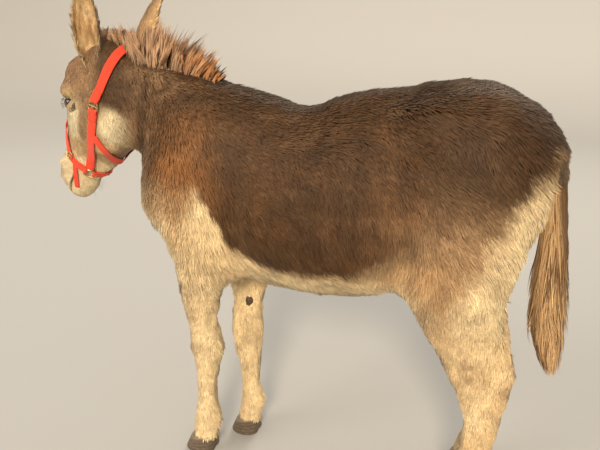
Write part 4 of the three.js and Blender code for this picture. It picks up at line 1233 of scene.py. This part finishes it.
def eye_axes(sign):
    """The eye's middle, the way it looks, the way its slit runs to the nose, and up."""
    middle = Vector(from_head((EYE_PLACE.x, -sign * EYE_PLACE.y, EYE_PLACE.z)))
    look = Vector(head_direction((-0.30, sign * 0.94, 0.10))).normalized()
    slit = Vector(head_direction((-0.42, 0, -0.90)))
    slit = (slit - look * slit.dot(look)).normalized()
    up = look.cross(slit) * (-sign)
    if up.dot(Vector(head_direction((-1, 0, 0.6)))) < 0:
        up = -up
    return np.array(middle), np.array(look), np.array(slit), np.array(up)


def build_eye(side, sign, material):
    """A dark ball with a slightly bulging cornea, rays in its iris and a long level pupil."""
    middle, look, slit, up = eye_axes(sign)
    vertices, colours = [], []
    for share, turn in ring_places(EYE_RINGS, EYE_COLUMNS):
        polar = math.pi * share
        bulge = 0.055 * math.exp(-((polar / 0.50) ** 2) * 1.6)
        level, rise = math.cos(turn), math.sin(turn)
        way = look * math.cos(polar) + (slit * level + up * rise) * math.sin(polar)
        vertices.append(middle + way * EYE_RADIUS * (0.945 + bulge))
        in_pupil = math.hypot(polar * level / PUPIL_HALF[0], polar * rise / PUPIL_HALF[1])
        rays = 0.8 + 0.2 * math.sin(26 * turn + 4 * math.sin(5 * turn))
        colour = mix(PUPIL, np.array(IRIS) * rays, ease(0.9, 1.15, in_pupil))
        colour = mix(colour, PUPIL, ease(0.62, 0.76, polar) * 0.8)
        colours.append(mix(colour, SCLERA, ease(0.84, 0.98, polar)))
    eye = mesh_object(f"eyeball_{side}", vertices, ring_quads(EYE_RINGS + 1, EYE_COLUMNS), material,
                      np.array(colours))
    register(eye, "eye", f"eye_{side}")


# The lid's section from the wet edge outward: angle beyond the opening, and height over the eye.
LID_SECTION = [(-0.05, -1.2), (-0.01, 0.5), (0.04, 1.6), (0.10, 2.1), (0.18, 2.0), (0.25, 0.9),
               (0.32, 1.7), (0.43, 1.4), (0.56, -0.8), (0.74, -5.0)]
LID_BARE_ROWS = (1.2, 3.2)
LID_COLUMNS = 72
LID_SPACING = 1.9 * MM
LASHES = 60


def lid_place(axes, turn, beyond, height):
    """A point on the lids: turn goes round the opening, beyond is the angle outside it."""
    middle, look, slit, up = axes
    across = math.cos(turn) * (LID_LENGTH + beyond)
    tall = LID_UP if math.sin(turn) > 0 else LID_DOWN
    over = squared_off(math.sin(turn), 1.4) * tall + math.sin(turn) * beyond
    reach = math.hypot(across, over)
    way = look * math.cos(reach)
    if reach > 1e-6:
        way = way + (slit * across + up * over) * (math.sin(reach) / reach)
    return middle + way * (EYE_RADIUS + height * MM)


def lid_colours(points):
    """Greyer than the face round them."""
    return mix(markings(points), FACE_GREY, 0.6)


def lid_tufts(axes, mesh):
    """Short fur on the lids, away from their wet edge."""
    middle, look, slit, up = axes
    root, normal = scatter(mesh, lambda points: LID_SPACING)
    offset = root - middle
    outward = offset - np.outer(offset @ look, look)
    across, over = outward @ slit, outward @ up
    tall = np.where(over > 0, LID_UP, LID_DOWN) + LID_FUR_FROM
    haired = np.hypot(across / (LID_LENGTH + LID_FUR_FROM), over / tall) > EYE_RADIUS * 0.95
    root, normal, outward = root[haired], normal[haired], unit(outward[haired])
    flow = laid_flat(outward + head_direction((0.25, 0, -0.9)) * 0.5, normal)
    tufts = short_tufts(root, normal, flow, 5.5 * MM, 1.6 * MM, 1.5 * MM, lid_colours(root))
    tufts.root_map = flat_map(root, (0, 2))
    return tufts


def lash_tufts(axes):
    """Dark lashes along the upper lid, drooping to the nose."""
    turn = RANDOM.uniform(0.25, math.pi - 0.25, LASHES)
    start = np.array([lid_place(axes, t, 0.03, 1.6) for t in turn])
    out = unit(start - axes[0])
    droop = head_direction((0, 0, -1.0))
    length = RANDOM.uniform(8, 13, LASHES)[:, None] * MM
    bend = start + out * length * 0.5 + droop * length * 0.08
    tip = start + out * length * 0.85 + droop * length * 0.45
    shares = np.column_stack([turn / math.pi, np.full(LASHES, 0.5)])
    return single_hairs(np.stack([start, bend, tip], axis=1), 0.9 * MM, np.cross(out, droop),
                        np.array(LID_SKIN) * 0.6, out, 0.05 + 0.9 * shares)


def build_lids(side, sign, skin_hair, coat):
    """Both lids as one ring round the eye, with their crease, short fur and upper lashes."""
    axes = eye_axes(sign)
    turns = 2 * math.pi * np.arange(LID_COLUMNS) / LID_COLUMNS
    vertices = np.array([lid_place(axes, turn, beyond, height)
                         for beyond, height in LID_SECTION for turn in turns])
    rows = len(LID_SECTION)
    quads = ring_quads(rows, LID_COLUMNS)
    if np.dot(axes[1], np.cross(axes[2], axes[3])) > 0:
        quads = [quad[::-1] for quad in quads]
    bare = np.repeat(ease(LID_BARE_ROWS[1], LID_BARE_ROWS[0], np.arange(rows)), LID_COLUMNS)
    # Lid skin under the fur is painted darker than the fur, as painted shade; the bare rows take the lids'
    # own dark skin.
    colours = mix(lid_colours(vertices) * 0.8, LID_SKIN, bare)
    lids = mesh_object(f"eyelids_{side}", vertices, quads, skin_hair, colours)
    register(lids, "coat_head")
    fur = tuft_object(f"eyelid_fur_{side}", lid_tufts(axes, lids.data), coat)
    register(fur, "coat_head")
    lashes = tuft_object(f"eyelashes_{side}", lash_tufts(axes), coat)
    register(lashes, "coat_head")


# ---------------------------------------------------------------- hooves

HOOF_SEGMENTS = 56
HOOF_RINGS = 18
GROWTH_RINGS = 26  # radians of their wave from the floor to the top
HORN_COLOUR = (0.095, 0.070, 0.052)
HORN_PALE = (0.240, 0.190, 0.140)


def build_hoof(end, side, material):
    """An upright donkey's hoof: round toe, straight quarters, a notched heel and growth rings."""
    node = f"hoof_{end}_{side}"
    low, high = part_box(node)
    middle = box_middle(node)
    half_length = (high.x - low.x) / 2
    half_width = (high.y - low.y) / 2
    rear_top = high.z - 2 * MM
    front_top = rear_top * 0.62
    vertices, colours = [], []
    for share, turn in ring_places(HOOF_RINGS, HOOF_SEGMENTS):
        from_heel = min(turn, 2 * math.pi - turn)
        notch = 1 - 0.13 * math.exp(-((from_heel / 0.30) ** 2))
        top = front_top + (rear_top - front_top) * (0.5 + 0.5 * math.cos(turn))
        growth = 1 + 0.006 * math.sin(share * GROWTH_RINGS + 0.5 * math.sin(turn))
        edge = 0.97 if share == 0 else 1.0
        reach = (1 - 0.17 * share) * growth * edge * notch
        x = squared_off(math.cos(turn), 0.92) * 0.92 * reach + share * 0.12
        y = squared_off(math.sin(turn), 0.86) * 0.97 * reach
        vertices.append((middle.x + half_length * x, middle.y + half_width * y, top * share))
        pale = 0.35 * (0.5 + 0.5 * math.sin(share * GROWTH_RINGS)) + 0.5 * ease(0.85, 1.0, share)
        colours.append(mix(HORN_COLOUR, HORN_PALE, pale))
    quads = ring_quads(HOOF_RINGS + 1, HOOF_SEGMENTS)
    hoof = mesh_object(f"{node}_horn", vertices, quads, material, np.array(colours))
    close_ends(hoof.data)
    register(hoof, "hoof_horn", node)


# ---------------------------------------------------------------- chestnuts, feather and whiskers

# The dark oval on the inside of each foreleg: x and height.
CHESTNUTS = {"left": (-0.225, 0.455), "right": (-0.138, 0.430)}
CHESTNUT_RADII = (11 * MM, 15 * MM)  # half width and half height
CHESTNUT_RINGS = 5
CHESTNUT_COLUMNS = 28
BESIDE_LEG = 58 * MM  # how far inward of the leg's middle the rays to its skin start


def build_chestnut(side, sign, skin_tree, material):
    """A low horny oval with a rough rim, on the skin of the foreleg's inner side."""
    x, z = CHESTNUTS[side]
    centre = Vector((x, box_middle(f"foreleg_upper_{side}").y, z))
    vertices, colours = [], []
    for share, turn in ring_places(CHESTNUT_RINGS, CHESTNUT_COLUMNS):
        ragged = share * (1 + 0.08 * math.sin(3 * turn + 1) + 0.05 * math.sin(7 * turn))
        u = math.cos(turn) * CHESTNUT_RADII[0] * ragged
        v = math.sin(turn) * CHESTNUT_RADII[1] * ragged
        start = centre + Vector((u, -sign * BESIDE_LEG, v))
        hit, normal, _, _ = skin_tree.ray_cast(start, Vector((0, sign, 0)))
        rise = LEG_COAT_DEPTH * (1.25 - 0.9 * share ** 4) + 1.2 * MM * math.sin(share * 9)
        vertices.append(hit + normal * rise)
        colours.append(mix(HORNY_SKIN, PATCH_GREY, 0.25 + 0.25 * math.sin(share * 14 + turn)))
    quads = ring_quads(CHESTNUT_RINGS + 1, CHESTNUT_COLUMNS)
    piece = mesh_object(f"chestnut_{side}", vertices, quads, material, np.array(colours))
    register(piece, "coat_legs")


# Longer hair on the left side: where, how far round it grows, which way, how many and how long.
FEATHER = [
    ((-0.165, -0.075, 0.345), 0.030, (0.45, 0.00, -0.9), 150, 26 * MM),  # behind the fore knee
    ((-0.185, -0.075, 0.085), 0.022, (0.50, 0.00, -0.85), 130, 26 * MM),  # fore fetlock
    ((0.560, -0.090, 0.100), 0.022, (0.45, 0.00, -0.9), 130, 26 * MM),  # hind fetlock
    ((-0.150, -0.110, 0.560), 0.035, (0.55, 0.05, -0.8), 130, 30 * MM),  # elbow
    ((0.385, -0.150, 0.640), 0.040, (-0.10, 0.00, -1.0), 140, 34 * MM),  # stifle
]


def build_feather(skin_tree, material):
    """Tufts that break the outline behind the joints, on both sides."""
    roots, normals, ways, lengths = [], [], [], []
    for centre, reach, way, count, length in FEATHER:
        for sign in SIDES.values():
            for _ in range(count):
                near = np.array(centre) * (1, -sign, 1) + RANDOM.normal(0, reach * 0.5, 3)
                hit, normal, _, _ = skin_tree.find_nearest(Vector(near))
                roots.append(hit)
                normals.append(normal)
                ways.append(np.array(way) * (1, -sign, 1) + RANDOM.normal(0, 0.15, 3))
                lengths.append(length)
    root, normal = np.array(roots), np.array(normals)
    flow = laid_flat(np.array(ways), normal)
    stand = of_coat(root, "depth") * 1.3 + 2 * MM
    tufts = short_tufts(root, normal, flow, np.array(lengths), 2.6 * MM, stand, markings(root), 0.4)
    tufts.root_map = flat_map(root, (0, 2))
    register(tuft_object("coat_feather", tufts, material), "coat_legs")


WHISKERS = 90


def build_whiskers(skin_tree, material):
    """Stiff pale hairs on the chin and lips."""
    paths, normals = [], []
    for _ in range(WHISKERS):
        down, face = RANDOM.uniform(370, 408), RANDOM.uniform(-34, 40)
        near = from_head(on_head(down, face, RANDOM.uniform(-40, 40)))
        hit, normal, _, _ = skin_tree.find_nearest(Vector(near))
        length = RANDOM.uniform(12, 26) * MM
        way = np.array(normal) * 0.8 + head_direction((0.25, 0, -0.5)) + RANDOM.normal(0, 0.15, 3)
        run = unit(way) * length
        start = np.array(hit)
        paths.append([start, start + run * 0.5, start + run + (0, 0, -0.15 * length)])
        normals.append(normal)
    path = np.array(paths)
    across = np.cross(path[:, 1] - path[:, 0], (0.3, 0.9, 0.1))
    root_map = 0.05 + 0.9 * RANDOM.random((WHISKERS, 2))
    hairs = single_hairs(path, 0.6 * MM, across, np.array(PALE_CREAM) * 0.9, np.array(normals), root_map)
    register(tuft_object("whiskers", hairs, material), "coat_head")


# ---------------------------------------------------------------- halter

# A strap's route: degrees round the head from the nose, and millimetres down from the poll.
CHEEK_ROUTE = [(109, 136), (110, 165), (112, 220), (115, 316)]
NOSEBAND_ROUTE = [(0, 242), (18, 254), (34, 300), (50, 320), (78, 328), (100, 331)]
CHIN_ROUTE = [(180, 336), (155, 335), (132, 334)]
THROAT_ROUTE = [(180, 278), (165, 272), (148, 254), (134, 233), (124, 218), (117, 206)]
END_ROUTE = [(-56, 318), (-61, 345), (-72, 396)]
CROWN_BACK = 50 * MM
CROWN_REACH = 102  # degrees from the middle of the poll
STRAP = {"thickness": 2.6 * MM, "width": 24 * MM, "nose": 18 * MM, "throat": 20 * MM, "end": 13 * MM}
STRAP_LIFT = 2.4 * MM
STRAP_STEP = 4 * MM
HEAD_CORE = 20 * MM  # how far towards the jaw from the head's axis the rays to the straps start


def coat_hit(core, way):
    """Where a ray from a point in the head leaves the coat, and the normal there."""
    hit, normal, _, _ = COAT_TREE.ray_cast(Vector(from_head(core)), Vector(head_direction(way)))
    return np.array(hit), np.array(normal)


def on_level(degrees, down):
    """A place on the coat at degrees round the head from the nose, down from the poll."""
    turn = math.radians(degrees)
    return coat_hit((HEAD_CORE, 0, -down * MM), np.array((-math.cos(turn), math.sin(turn), 0)))


def over_poll(degrees):
    """A place on the coat behind the ears, at degrees from the top to the right."""
    turn = math.radians(degrees)
    return coat_hit((CROWN_BACK, 0, -0.070), np.array((0, math.sin(turn), math.cos(turn))))


def both_sides(route, through):
    """A route from the left side to the right, through the middle line at the given degrees."""
    left = [(-degrees, down) for degrees, down in route[::-1]]
    right = [(degrees - 2 * through, down) for degrees, down in route]
    return left + right[1:]


def route_line(hits):
    """Evenly spaced places and smoothed normals along a route, lifted to the strap's middle."""
    places, normals = [np.array(column) for column in zip(*hits)]
    for _ in range(6):
        for rows in (places, normals):
            rows[1:-1] = (rows[:-2] + 2 * rows[1:-1] + rows[2:]) / 4
    along = length_along(places)
    at = np.linspace(0, along[-1], max(int(along[-1] / STRAP_STEP), 4))
    normals = unit(interpolated(at, along, unit(normals)))
    return interpolated(at, along, places) + normals * (STRAP_LIFT + STRAP["thickness"] / 2), normals


def sampled(route):
    """Places and normals on the coat along a smooth curve through a route."""
    at = np.linspace(0, len(route) - 1, 12 * (len(route) - 1) + 1)
    return [on_level(degrees, down) for degrees, down in spline(route, at)]


FOLD_LENGTH = 32 * MM
FOLD_TURNS = 7


def folded(places, normals, wire):
    """Adds the turn round a ring's wire and the end sewn back over the strap, at the line's end."""
    tangent = unit(places[-1] - places[-2])
    normal = normals[-1]
    radius = STRAP["thickness"] / 2 + wire
    centre = places[-1] + normal * radius
    new_places, new_normals = list(places), list(normals)
    for turn in np.linspace(0, math.pi, FOLD_TURNS + 2)[1:]:
        facing = normal * math.cos(turn) - tangent * math.sin(turn)
        new_places.append(centre - facing * radius)
        new_normals.append(facing)
    along = length_along(places[::-1])
    for reach in np.arange(STRAP_STEP, FOLD_LENGTH, STRAP_STEP):
        over = unit(interpolated(reach, along, normals[::-1]))
        gap = STRAP["thickness"] + (2 * radius - STRAP["thickness"]) * (1 - ease(0, 14 * MM, reach))
        new_places.append(interpolated(reach, along, places[::-1]) + over * gap)
        new_normals.append(-over)
    return np.array(new_places), np.array(new_normals)


# The webbing's outline: across and out, as shares of its width and thickness.
WEBBING_SECTION = np.array([
    (-0.5, 0), (-0.485, 0.36), (-0.44, 0.5), (-0.2, 0.46), (0.2, 0.46), (0.44, 0.5), (0.485, 0.36),
    (0.5, 0), (0.485, -0.36), (0.44, -0.5), (-0.44, -0.5), (-0.485, -0.36)])


def strap_object(name, places, normals, width, material):
    """A webbing strap swept along a line, with its length and width in metres as its map."""
    tangent = unit(np.gradient(places, axis=0))
    side = unit(np.cross(tangent, normals))
    normals = np.cross(side, tangent)
    corners = len(WEBBING_SECTION)
    vertices = [place + across * (u * width) + out * (v * STRAP["thickness"])
                for place, across, out in zip(places, side, normals) for u, v in WEBBING_SECTION]
    strap = mesh_object(name, vertices, ring_quads(len(places), corners), material)
    close_ends(strap.data)
    vertex = rows_of(strap.data.loops, "vertex_index", 1, np.int32)[:, 0]
    ring, corner = np.divmod(vertex, corners)
    at = np.column_stack([length_along(places)[ring], WEBBING_SECTION[corner, 0] * width])
    strap.data.uv_layers.new(name="webbing").data.foreach_set("uv", at.astype(np.float32).ravel())
    return strap, side, normals


STITCH = {"length": 3.2 * MM, "gap": 1.6 * MM, "radius": 0.45 * MM, "from middle": 0.34}
# A stitch's rise out of the webbing along its length, in thread radii.
STITCH_RISE = ((0, -0.5), (0.2, 0.35), (0.5, 0.6), (0.8, 0.35), (1, -0.5))


def tube(path, radius, columns, closed=False):
    """Vertices and quads of a round tube along a path."""
    path = np.array(path)
    tangent = np.roll(path, -1, 0) - np.roll(path, 1, 0) if closed else np.gradient(path, axis=0)
    tangent = unit(tangent)
    side = unit(np.cross(tangent, (0.31, 0.17, 0.93)))
    other = np.cross(tangent, side)
    turn = (2 * math.pi * np.arange(columns) / columns)[None, :, None]
    ring = side[:, None] * np.cos(turn) + other[:, None] * np.sin(turn)
    return (path[:, None] + ring * radius).reshape(-1, 3), ring_quads(len(path), columns, closed)


def joined(parts):
    """The vertices and the faces of several parts as one part."""
    points, faces = [], []
    for part_points, part_faces in parts:
        faces += [tuple(len(points) + i for i in face) for face in part_faces]
        points += list(part_points)
    return points, faces


def stitched(name, places, side, normals, width, material):
    """Two rows of thread stitches along a sewn stretch of strap."""
    along = length_along(places)
    rows = np.hstack([places, side, normals])
    stitches = []
    for share in (-STITCH["from middle"], STITCH["from middle"]):
        for start in np.arange(2 * MM, along[-1] - STITCH["length"], STITCH["length"] + STITCH["gap"]):
            thread = []
            for step, rise in STITCH_RISE:
                row = interpolated(start + step * STITCH["length"], along, rows)
                place, across, out = row.reshape(3, 3)
                depth = STRAP["thickness"] * 0.5 + rise * STITCH["radius"]
                thread.append(place + across * share * width - out * depth)
            stitches.append(tube(thread, STITCH["radius"], 5))
    register(mesh_object(name, *joined(stitches), material), "red_webbing")


def build_strap(node, hits, width, ends, webbing, thread):
    """A strap between rings: each sewn end, named by the wire it turns round, is folded back."""
    places, normals = route_line(hits)
    sewn = []
    for wire, which in zip(ends, ("first", "last")):
        if not wire:
            continue
        step = -1 if which == "first" else 1
        before = len(places) + FOLD_TURNS
        places, normals = folded(places[::step], normals[::step], wire)
        sewn.append((which, len(places) - before))
        places, normals = places[::step], normals[::step]
    strap, side, out = strap_object(f"{node}_webbing", places, normals, width, webbing)
    register(strap, "red_webbing", node)
    for which, count in sewn:
        stretch = slice(0, count) if which == "first" else slice(len(places) - count, None)
        stitched(f"{node}_stitches_{which}", places[stretch], side[stretch], out[stretch], width, thread)


RING_WIRE = 2.3 * MM
BUCKLE_WIRE = 2.0 * MM
# A fitting's radius and wire, its stretch across and along the head, the power that squares it
# off, and whether it has a buckle's bar and pin.
FITTINGS = {
    "ring": (14.5 * MM, RING_WIRE, (1.2, 0.8), 0.9, False),
    "buckle": (12.5 * MM, BUCKLE_WIRE, (1.10, 0.95), 0.8, True),
    "nose buckle": (9 * MM, 1.6 * MM, (0.95, 1.1), 0.7, True),
}


def build_fitting(node, kind, hit, material):
    """A ring, or a buckle's frame with its bar and pin, that lies on the coat."""
    radius, wire, (wide, tall), power, is_buckle = FITTINGS[kind]
    place, normal = hit
    normal = unit(normal)
    up = laid_flat(head_direction((0, 0, -1)), normal)
    across = np.cross(normal, up) * radius * wide
    up = up * radius * tall
    centre = place + normal * (STRAP_LIFT + STRAP["thickness"] + wire)
    loop = [centre + across * squared_off(math.cos(turn), power) + up * squared_off(math.sin(turn), power)
            for turn in np.linspace(0, 2 * math.pi, 48, endpoint=False)]
    parts = [tube(loop, wire, 12, closed=True)]
    if is_buckle:
        bar = [centre + across * t for t in np.linspace(-1, 1, 6)]
        pin = [centre + up * t + normal * wire * (0.8 + 0.9 * math.sin(math.pi * t))
               for t in np.linspace(0, 1.05, 8)]
        parts += [tube(bar, wire * 0.8, 10), tube(pin, wire * 0.55, 8)]
    piece = mesh_object(f"{node}_metal", *joined(parts), material)
    close_ends(piece.data)
    register(piece, "brass_fittings", node)


# Where the fittings are: degrees round the head from the nose, and millimetres down from the poll.
RING_PLACE = (115, 337)
BUCKLE_PLACE = (107, 124)
NOSE_BUCKLE_PLACE = (-43, 312)
CROWN_END = (107, 111)


def build_halter(webbing, thread, brass):
    degrees, down = CROWN_END
    crown = [over_poll(turn) for turn in np.linspace(-CROWN_REACH, CROWN_REACH, 60)]
    crown = [on_level(-degrees, down), *crown, on_level(degrees, down)]
    build_strap("halter_crown", crown, STRAP["width"], (BUCKLE_WIRE, BUCKLE_WIRE), webbing, thread)
    for side, sign in SIDES.items():
        route = sampled([(sign * degrees, down) for degrees, down in CHEEK_ROUTE])
        build_strap(f"halter_cheek_strap_{side}", route, STRAP["width"], (BUCKLE_WIRE, RING_WIRE),
                    webbing, thread)
        for kind, (degrees, down) in (("ring", RING_PLACE), ("buckle", BUCKLE_PLACE)):
            build_fitting(f"halter_{kind}_{side}", kind, on_level(sign * degrees, down), brass)
    rings, loose = (RING_WIRE, RING_WIRE), (None, None)
    for name, route, width, ends in (
            ("noseband_strap", both_sides(NOSEBAND_ROUTE, 0), "nose", rings),
            ("chin_strap", both_sides(CHIN_ROUTE, 180), "nose", rings),
            ("throat_strap", both_sides(THROAT_ROUTE, 180), "throat", loose),
            ("strap_end", END_ROUTE, "end", loose)):
        build_strap(f"halter_{name}", sampled(route), STRAP[width], ends, webbing, thread)
    build_fitting("halter_nose_buckle", "nose buckle", on_level(*NOSE_BUCKLE_PLACE), brass)


# ---------------------------------------------------------------- materials


def set_inputs(tree, node, inputs):
    """Sets a node's inputs, by name or number, to values or to other nodes' outputs."""
    for key, value in inputs.items():
        if isinstance(value, bpy.types.NodeSocket):
            tree.links.new(value, node.inputs[key])
        else:
            node.inputs[key].default_value = value


def add_node(tree, kind, inputs, **settings):
    """A new shader node."""
    node = tree.nodes.new(f"ShaderNode{kind}")
    for name, value in settings.items():
        setattr(node, name, value)
    set_inputs(tree, node, inputs)
    return node


def new_material(name, inputs):
    material = bpy.data.materials.new(name)
    material.use_nodes = True
    shader = material.node_tree.nodes["Principled BSDF"]
    set_inputs(material.node_tree, shader, inputs)
    return material, material.node_tree, shader


def own_colour(tree):
    """The colour that paint stored for each vertex."""
    return add_node(tree, "Attribute", {}, attribute_name="coat").outputs["Color"]


def add_bump(tree, shader, height, strength, distance):
    bump = add_node(tree, "Bump", {"Strength": strength, "Distance": distance, "Height": height})
    set_inputs(tree, shader, {"Normal": bump.outputs["Normal"]})


def add_grain(tree, shader, colour, scale, spread, bump, distance):
    """Multiplies a colour by fine noise and adds the same noise as bump."""
    place = add_node(tree, "TexCoord", {})
    noise = add_node(tree, "TexNoise", {"Vector": place.outputs["Object"], "Scale": scale, "Detail": 4})
    factor = add_node(tree, "MapRange", {"Value": noise.outputs["Fac"], "From Min": 0.3, "From Max": 0.7,
                                         "To Min": 1 - spread, "To Max": 1 + spread})
    scaled = add_node(tree, "VectorMath", {"Vector": colour, "Scale": factor.outputs["Result"]},
                      operation="SCALE")
    set_inputs(tree, shader, {"Base Color": scaled.outputs["Vector"]})
    add_bump(tree, shader, noise.outputs["Fac"], bump, distance)


def hair_material(name, roughness, sheen, scale=420, spread=0.22):
    """Hair or horn that takes its colour from the mesh, with finer streaks from noise."""
    material, tree, shader = new_material(name, {
        "Roughness": roughness, "Specular IOR Level": 0.28, "Sheen Weight": sheen,
        "Sheen Roughness": 0.45})
    add_grain(tree, shader, own_colour(tree), scale, spread, 0.25, 0.0006)
    return material


def eye_material():
    material, tree, shader = new_material("eye", {
        "Roughness": 0.06, "Specular IOR Level": 0.5, "Coat Weight": 1.0, "Coat Roughness": 0.03})
    set_inputs(tree, shader, {"Base Color": own_colour(tree)})
    return material


def webbing_material(name, colour):
    """Woven webbing: ribs along the strap crossed by finer picks, as bump, and as colour that paints the
    ribs lighter and the gaps between them darker as painted light and shade, with noise mottling.
    """
    material, tree, shader = new_material(name, {
        "Roughness": 0.72, "Specular IOR Level": 0.25, "Sheen Weight": 0.25, "Sheen Roughness": 0.5})
    place = add_node(tree, "UVMap", {}, uv_map="webbing").outputs["UV"]
    ribs, picks = [
        add_node(tree, "TexWave", {"Vector": place, "Scale": scale, "Distortion": 1.2},
                 bands_direction=direction).outputs["Fac"]
        for direction, scale in (("Y", 95), ("X", 130))]
    weave = add_node(tree, "Math", {0: ribs, 1: picks}, operation="MULTIPLY").outputs["Value"]
    mottling = add_node(tree, "TexNoise", {"Scale": 28, "Detail": 5}).outputs["Fac"]
    total = add_node(tree, "Math", {0: weave, 1: mottling}, operation="ADD").outputs["Value"]
    # The ramp's dark end is painted shade between the ribs and picks, its light end painted light on them.
    ramp = add_node(tree, "ValToRGB", {"Fac": total})
    for element, position, shade in zip(ramp.color_ramp.elements, (0.3, 1.3 / 1.5), (0.62, 1.15)):
        element.position = position
        element.color = (*np.minimum(np.array(colour) * shade, 1), 1)
    set_inputs(tree, shader, {"Base Color": ramp.outputs["Color"]})
    add_bump(tree, shader, weave, 0.5, 0.0006)
    return material


def plain_grain_material(name, colour, roughness, metallic, scale, spread):
    """A material of one base colour broken by noise, such as metal or thread."""
    material, tree, shader = new_material(name, {
        "Roughness": roughness, "Specular IOR Level": 0.4, "Metallic": metallic})
    tint = tree.nodes.new("ShaderNodeRGB").outputs["Color"]
    tint.default_value = (*colour, 1)
    add_grain(tree, shader, tint, scale, spread, 0.2, 0.0004)
    return material


# ---------------------------------------------------------------- the donkey


def finish_skin(material):
    """Gives the skin its material and the colours of the coat that grows on it, a little darker as painted
    shade under the fur.
    """
    mesh = SKIN.data
    mesh.materials.clear()
    mesh.materials.append(material)
    # Slightly darker than the coat: painted shade deep in the fur.
    paint(mesh, markings(positions(mesh)) * 0.95)
    mesh.shade_smooth()
    register(SKIN, "coat_body", *FLESH)


def build_donkey():
    coat = hair_material("coat_hair", 0.62, 0.10)
    skin_hair = hair_material("skin_under_coat", 0.75, 0.0, 260, 0.3)
    finish_skin(skin_hair)
    build_coat(coat)
    webbing = webbing_material("red_webbing", WEBBING_RED)
    thread = plain_grain_material("red_thread", THREAD_RED, 0.7, 0.0, 900, 0.2)
    brass = plain_grain_material("brass", BRASS, 0.30, 1.0, 220, 0.16)
    build_halter(webbing, thread, brass)
    eye = eye_material()
    long_hair = hair_material("mane_hair", 0.5, 0.05, 500, 0.2)
    horn = hair_material("horn", 0.45, 0.0, 160, 0.25)
    skin_tree = surface_tree(SKIN.data)
    build_mane(skin_tree, long_hair)
    build_tail(long_hair)
    build_feather(skin_tree, coat)
    build_whiskers(skin_tree, coat)
    for side, sign in SIDES.items():
        build_chestnut(side, sign, skin_tree, horn)
        build_ear(side, skin_hair, coat)
        build_eye(side, sign, eye)
        build_lids(side, sign, skin_hair, coat)
        for end in ("fore", "hind"):
            build_hoof(end, side, horn)


# ---------------------------------------------------------------- floor, light and camera

STUDIO_PALE = (0.40, 0.40, 0.40)
WORLD_COLOUR = (0.90, 0.84, 0.73)
WORLD_STRENGTH = 0.95
# The backdrop's profile: how far out, and how high.
BACKDROP = [(0.0, 0.0), (5.5, 0.0), (6.6, 0.12), (7.5, 0.50), (8.1, 1.2), (8.4, 2.2), (8.5, 3.4)]
BACKDROP_SEGMENTS = 96


def build_stage():
    """A plain pale floor that curves up into a round backdrop."""
    vertices = [(0, 0, 0)]
    for reach, height in BACKDROP[1:]:
        for step in range(BACKDROP_SEGMENTS):
            turn = 2 * math.pi * step / BACKDROP_SEGMENTS
            vertices.append((reach * math.cos(turn), reach * math.sin(turn), height))
    faces = []
    for step in range(BACKDROP_SEGMENTS):
        after = (step + 1) % BACKDROP_SEGMENTS
        faces.append((0, 1 + step, 1 + after))
        for ring in range(len(BACKDROP) - 2):
            low, high = 1 + ring * BACKDROP_SEGMENTS, 1 + (ring + 1) * BACKDROP_SEGMENTS
            faces += [(low + step, high + step, high + after), (low + step, high + after, low + after)]
    floor = mesh_object("studio_floor", vertices, faces)
    material, _, _ = new_material("studio_floor", {
        "Roughness": 0.9, "Specular IOR Level": 0.1, "Base Color": (*STUDIO_PALE, 1)})
    floor.data.materials.append(material)


def build_world():
    world = bpy.data.worlds.new("studio")
    bpy.context.scene.world = world
    world.use_nodes = True
    set_inputs(world.node_tree, world.node_tree.nodes["Background"],
               {"Color": (*WORLD_COLOUR, 1), "Strength": WORLD_STRENGTH})


# Each light: where it comes from, its strength, its softness in degrees and its colour.
LIGHTS = {
    "key": ((1.0, -5.0, 2.9), 2.8, 12, (1.0, 0.82, 0.60)),
    "fill": ((-3.4, -3.4, 3.0), 1.0, 30, (1.0, 0.90, 0.76)),
    "rim": ((0.5, 3.4, 3.0), 1.4, 20, (1.0, 0.90, 0.76)),
}


def build_lights():
    for name, (place, strength, softness, colour) in LIGHTS.items():
        light = bpy.data.lights.new(name, "SUN")
        light.energy = strength
        light.angle = math.radians(softness)
        light.color = colour
        obj = bpy.data.objects.new(name, light)
        bpy.context.scene.collection.objects.link(obj)
        obj.location = place
        obj.rotation_euler = Vector(place).to_track_quat("Z", "Y").to_euler()


# The camera, fitted to the photograph's 600 x 450 frame.
CAMERA_PLACE = Vector((0.377, -1.461, 1.206)) + AXIS_SHIFT
CAMERA_NEAR = 0.05
SENSOR_WIDTH = 36  # millimetres
CAMERA_YAW = 18.5
CAMERA_PITCH = 18.4
FOCAL_PIXELS = 622
FRAME_WIDTH = 600


def build_camera():
    camera = bpy.data.cameras.new("camera")
    camera.sensor_width = SENSOR_WIDTH
    camera.lens = SENSOR_WIDTH * FOCAL_PIXELS / FRAME_WIDTH
    camera.clip_start = CAMERA_NEAR
    obj = bpy.data.objects.new("camera", camera)
    bpy.context.scene.collection.objects.link(obj)
    obj.location = CAMERA_PLACE
    obj.rotation_euler = (math.radians(90 - CAMERA_PITCH), 0, math.radians(CAMERA_YAW))
    bpy.context.scene.camera = obj


build_donkey()
build_stage()
build_world()
build_lights()
build_camera()
bpy.context.scene.view_settings.view_transform = "Standard"
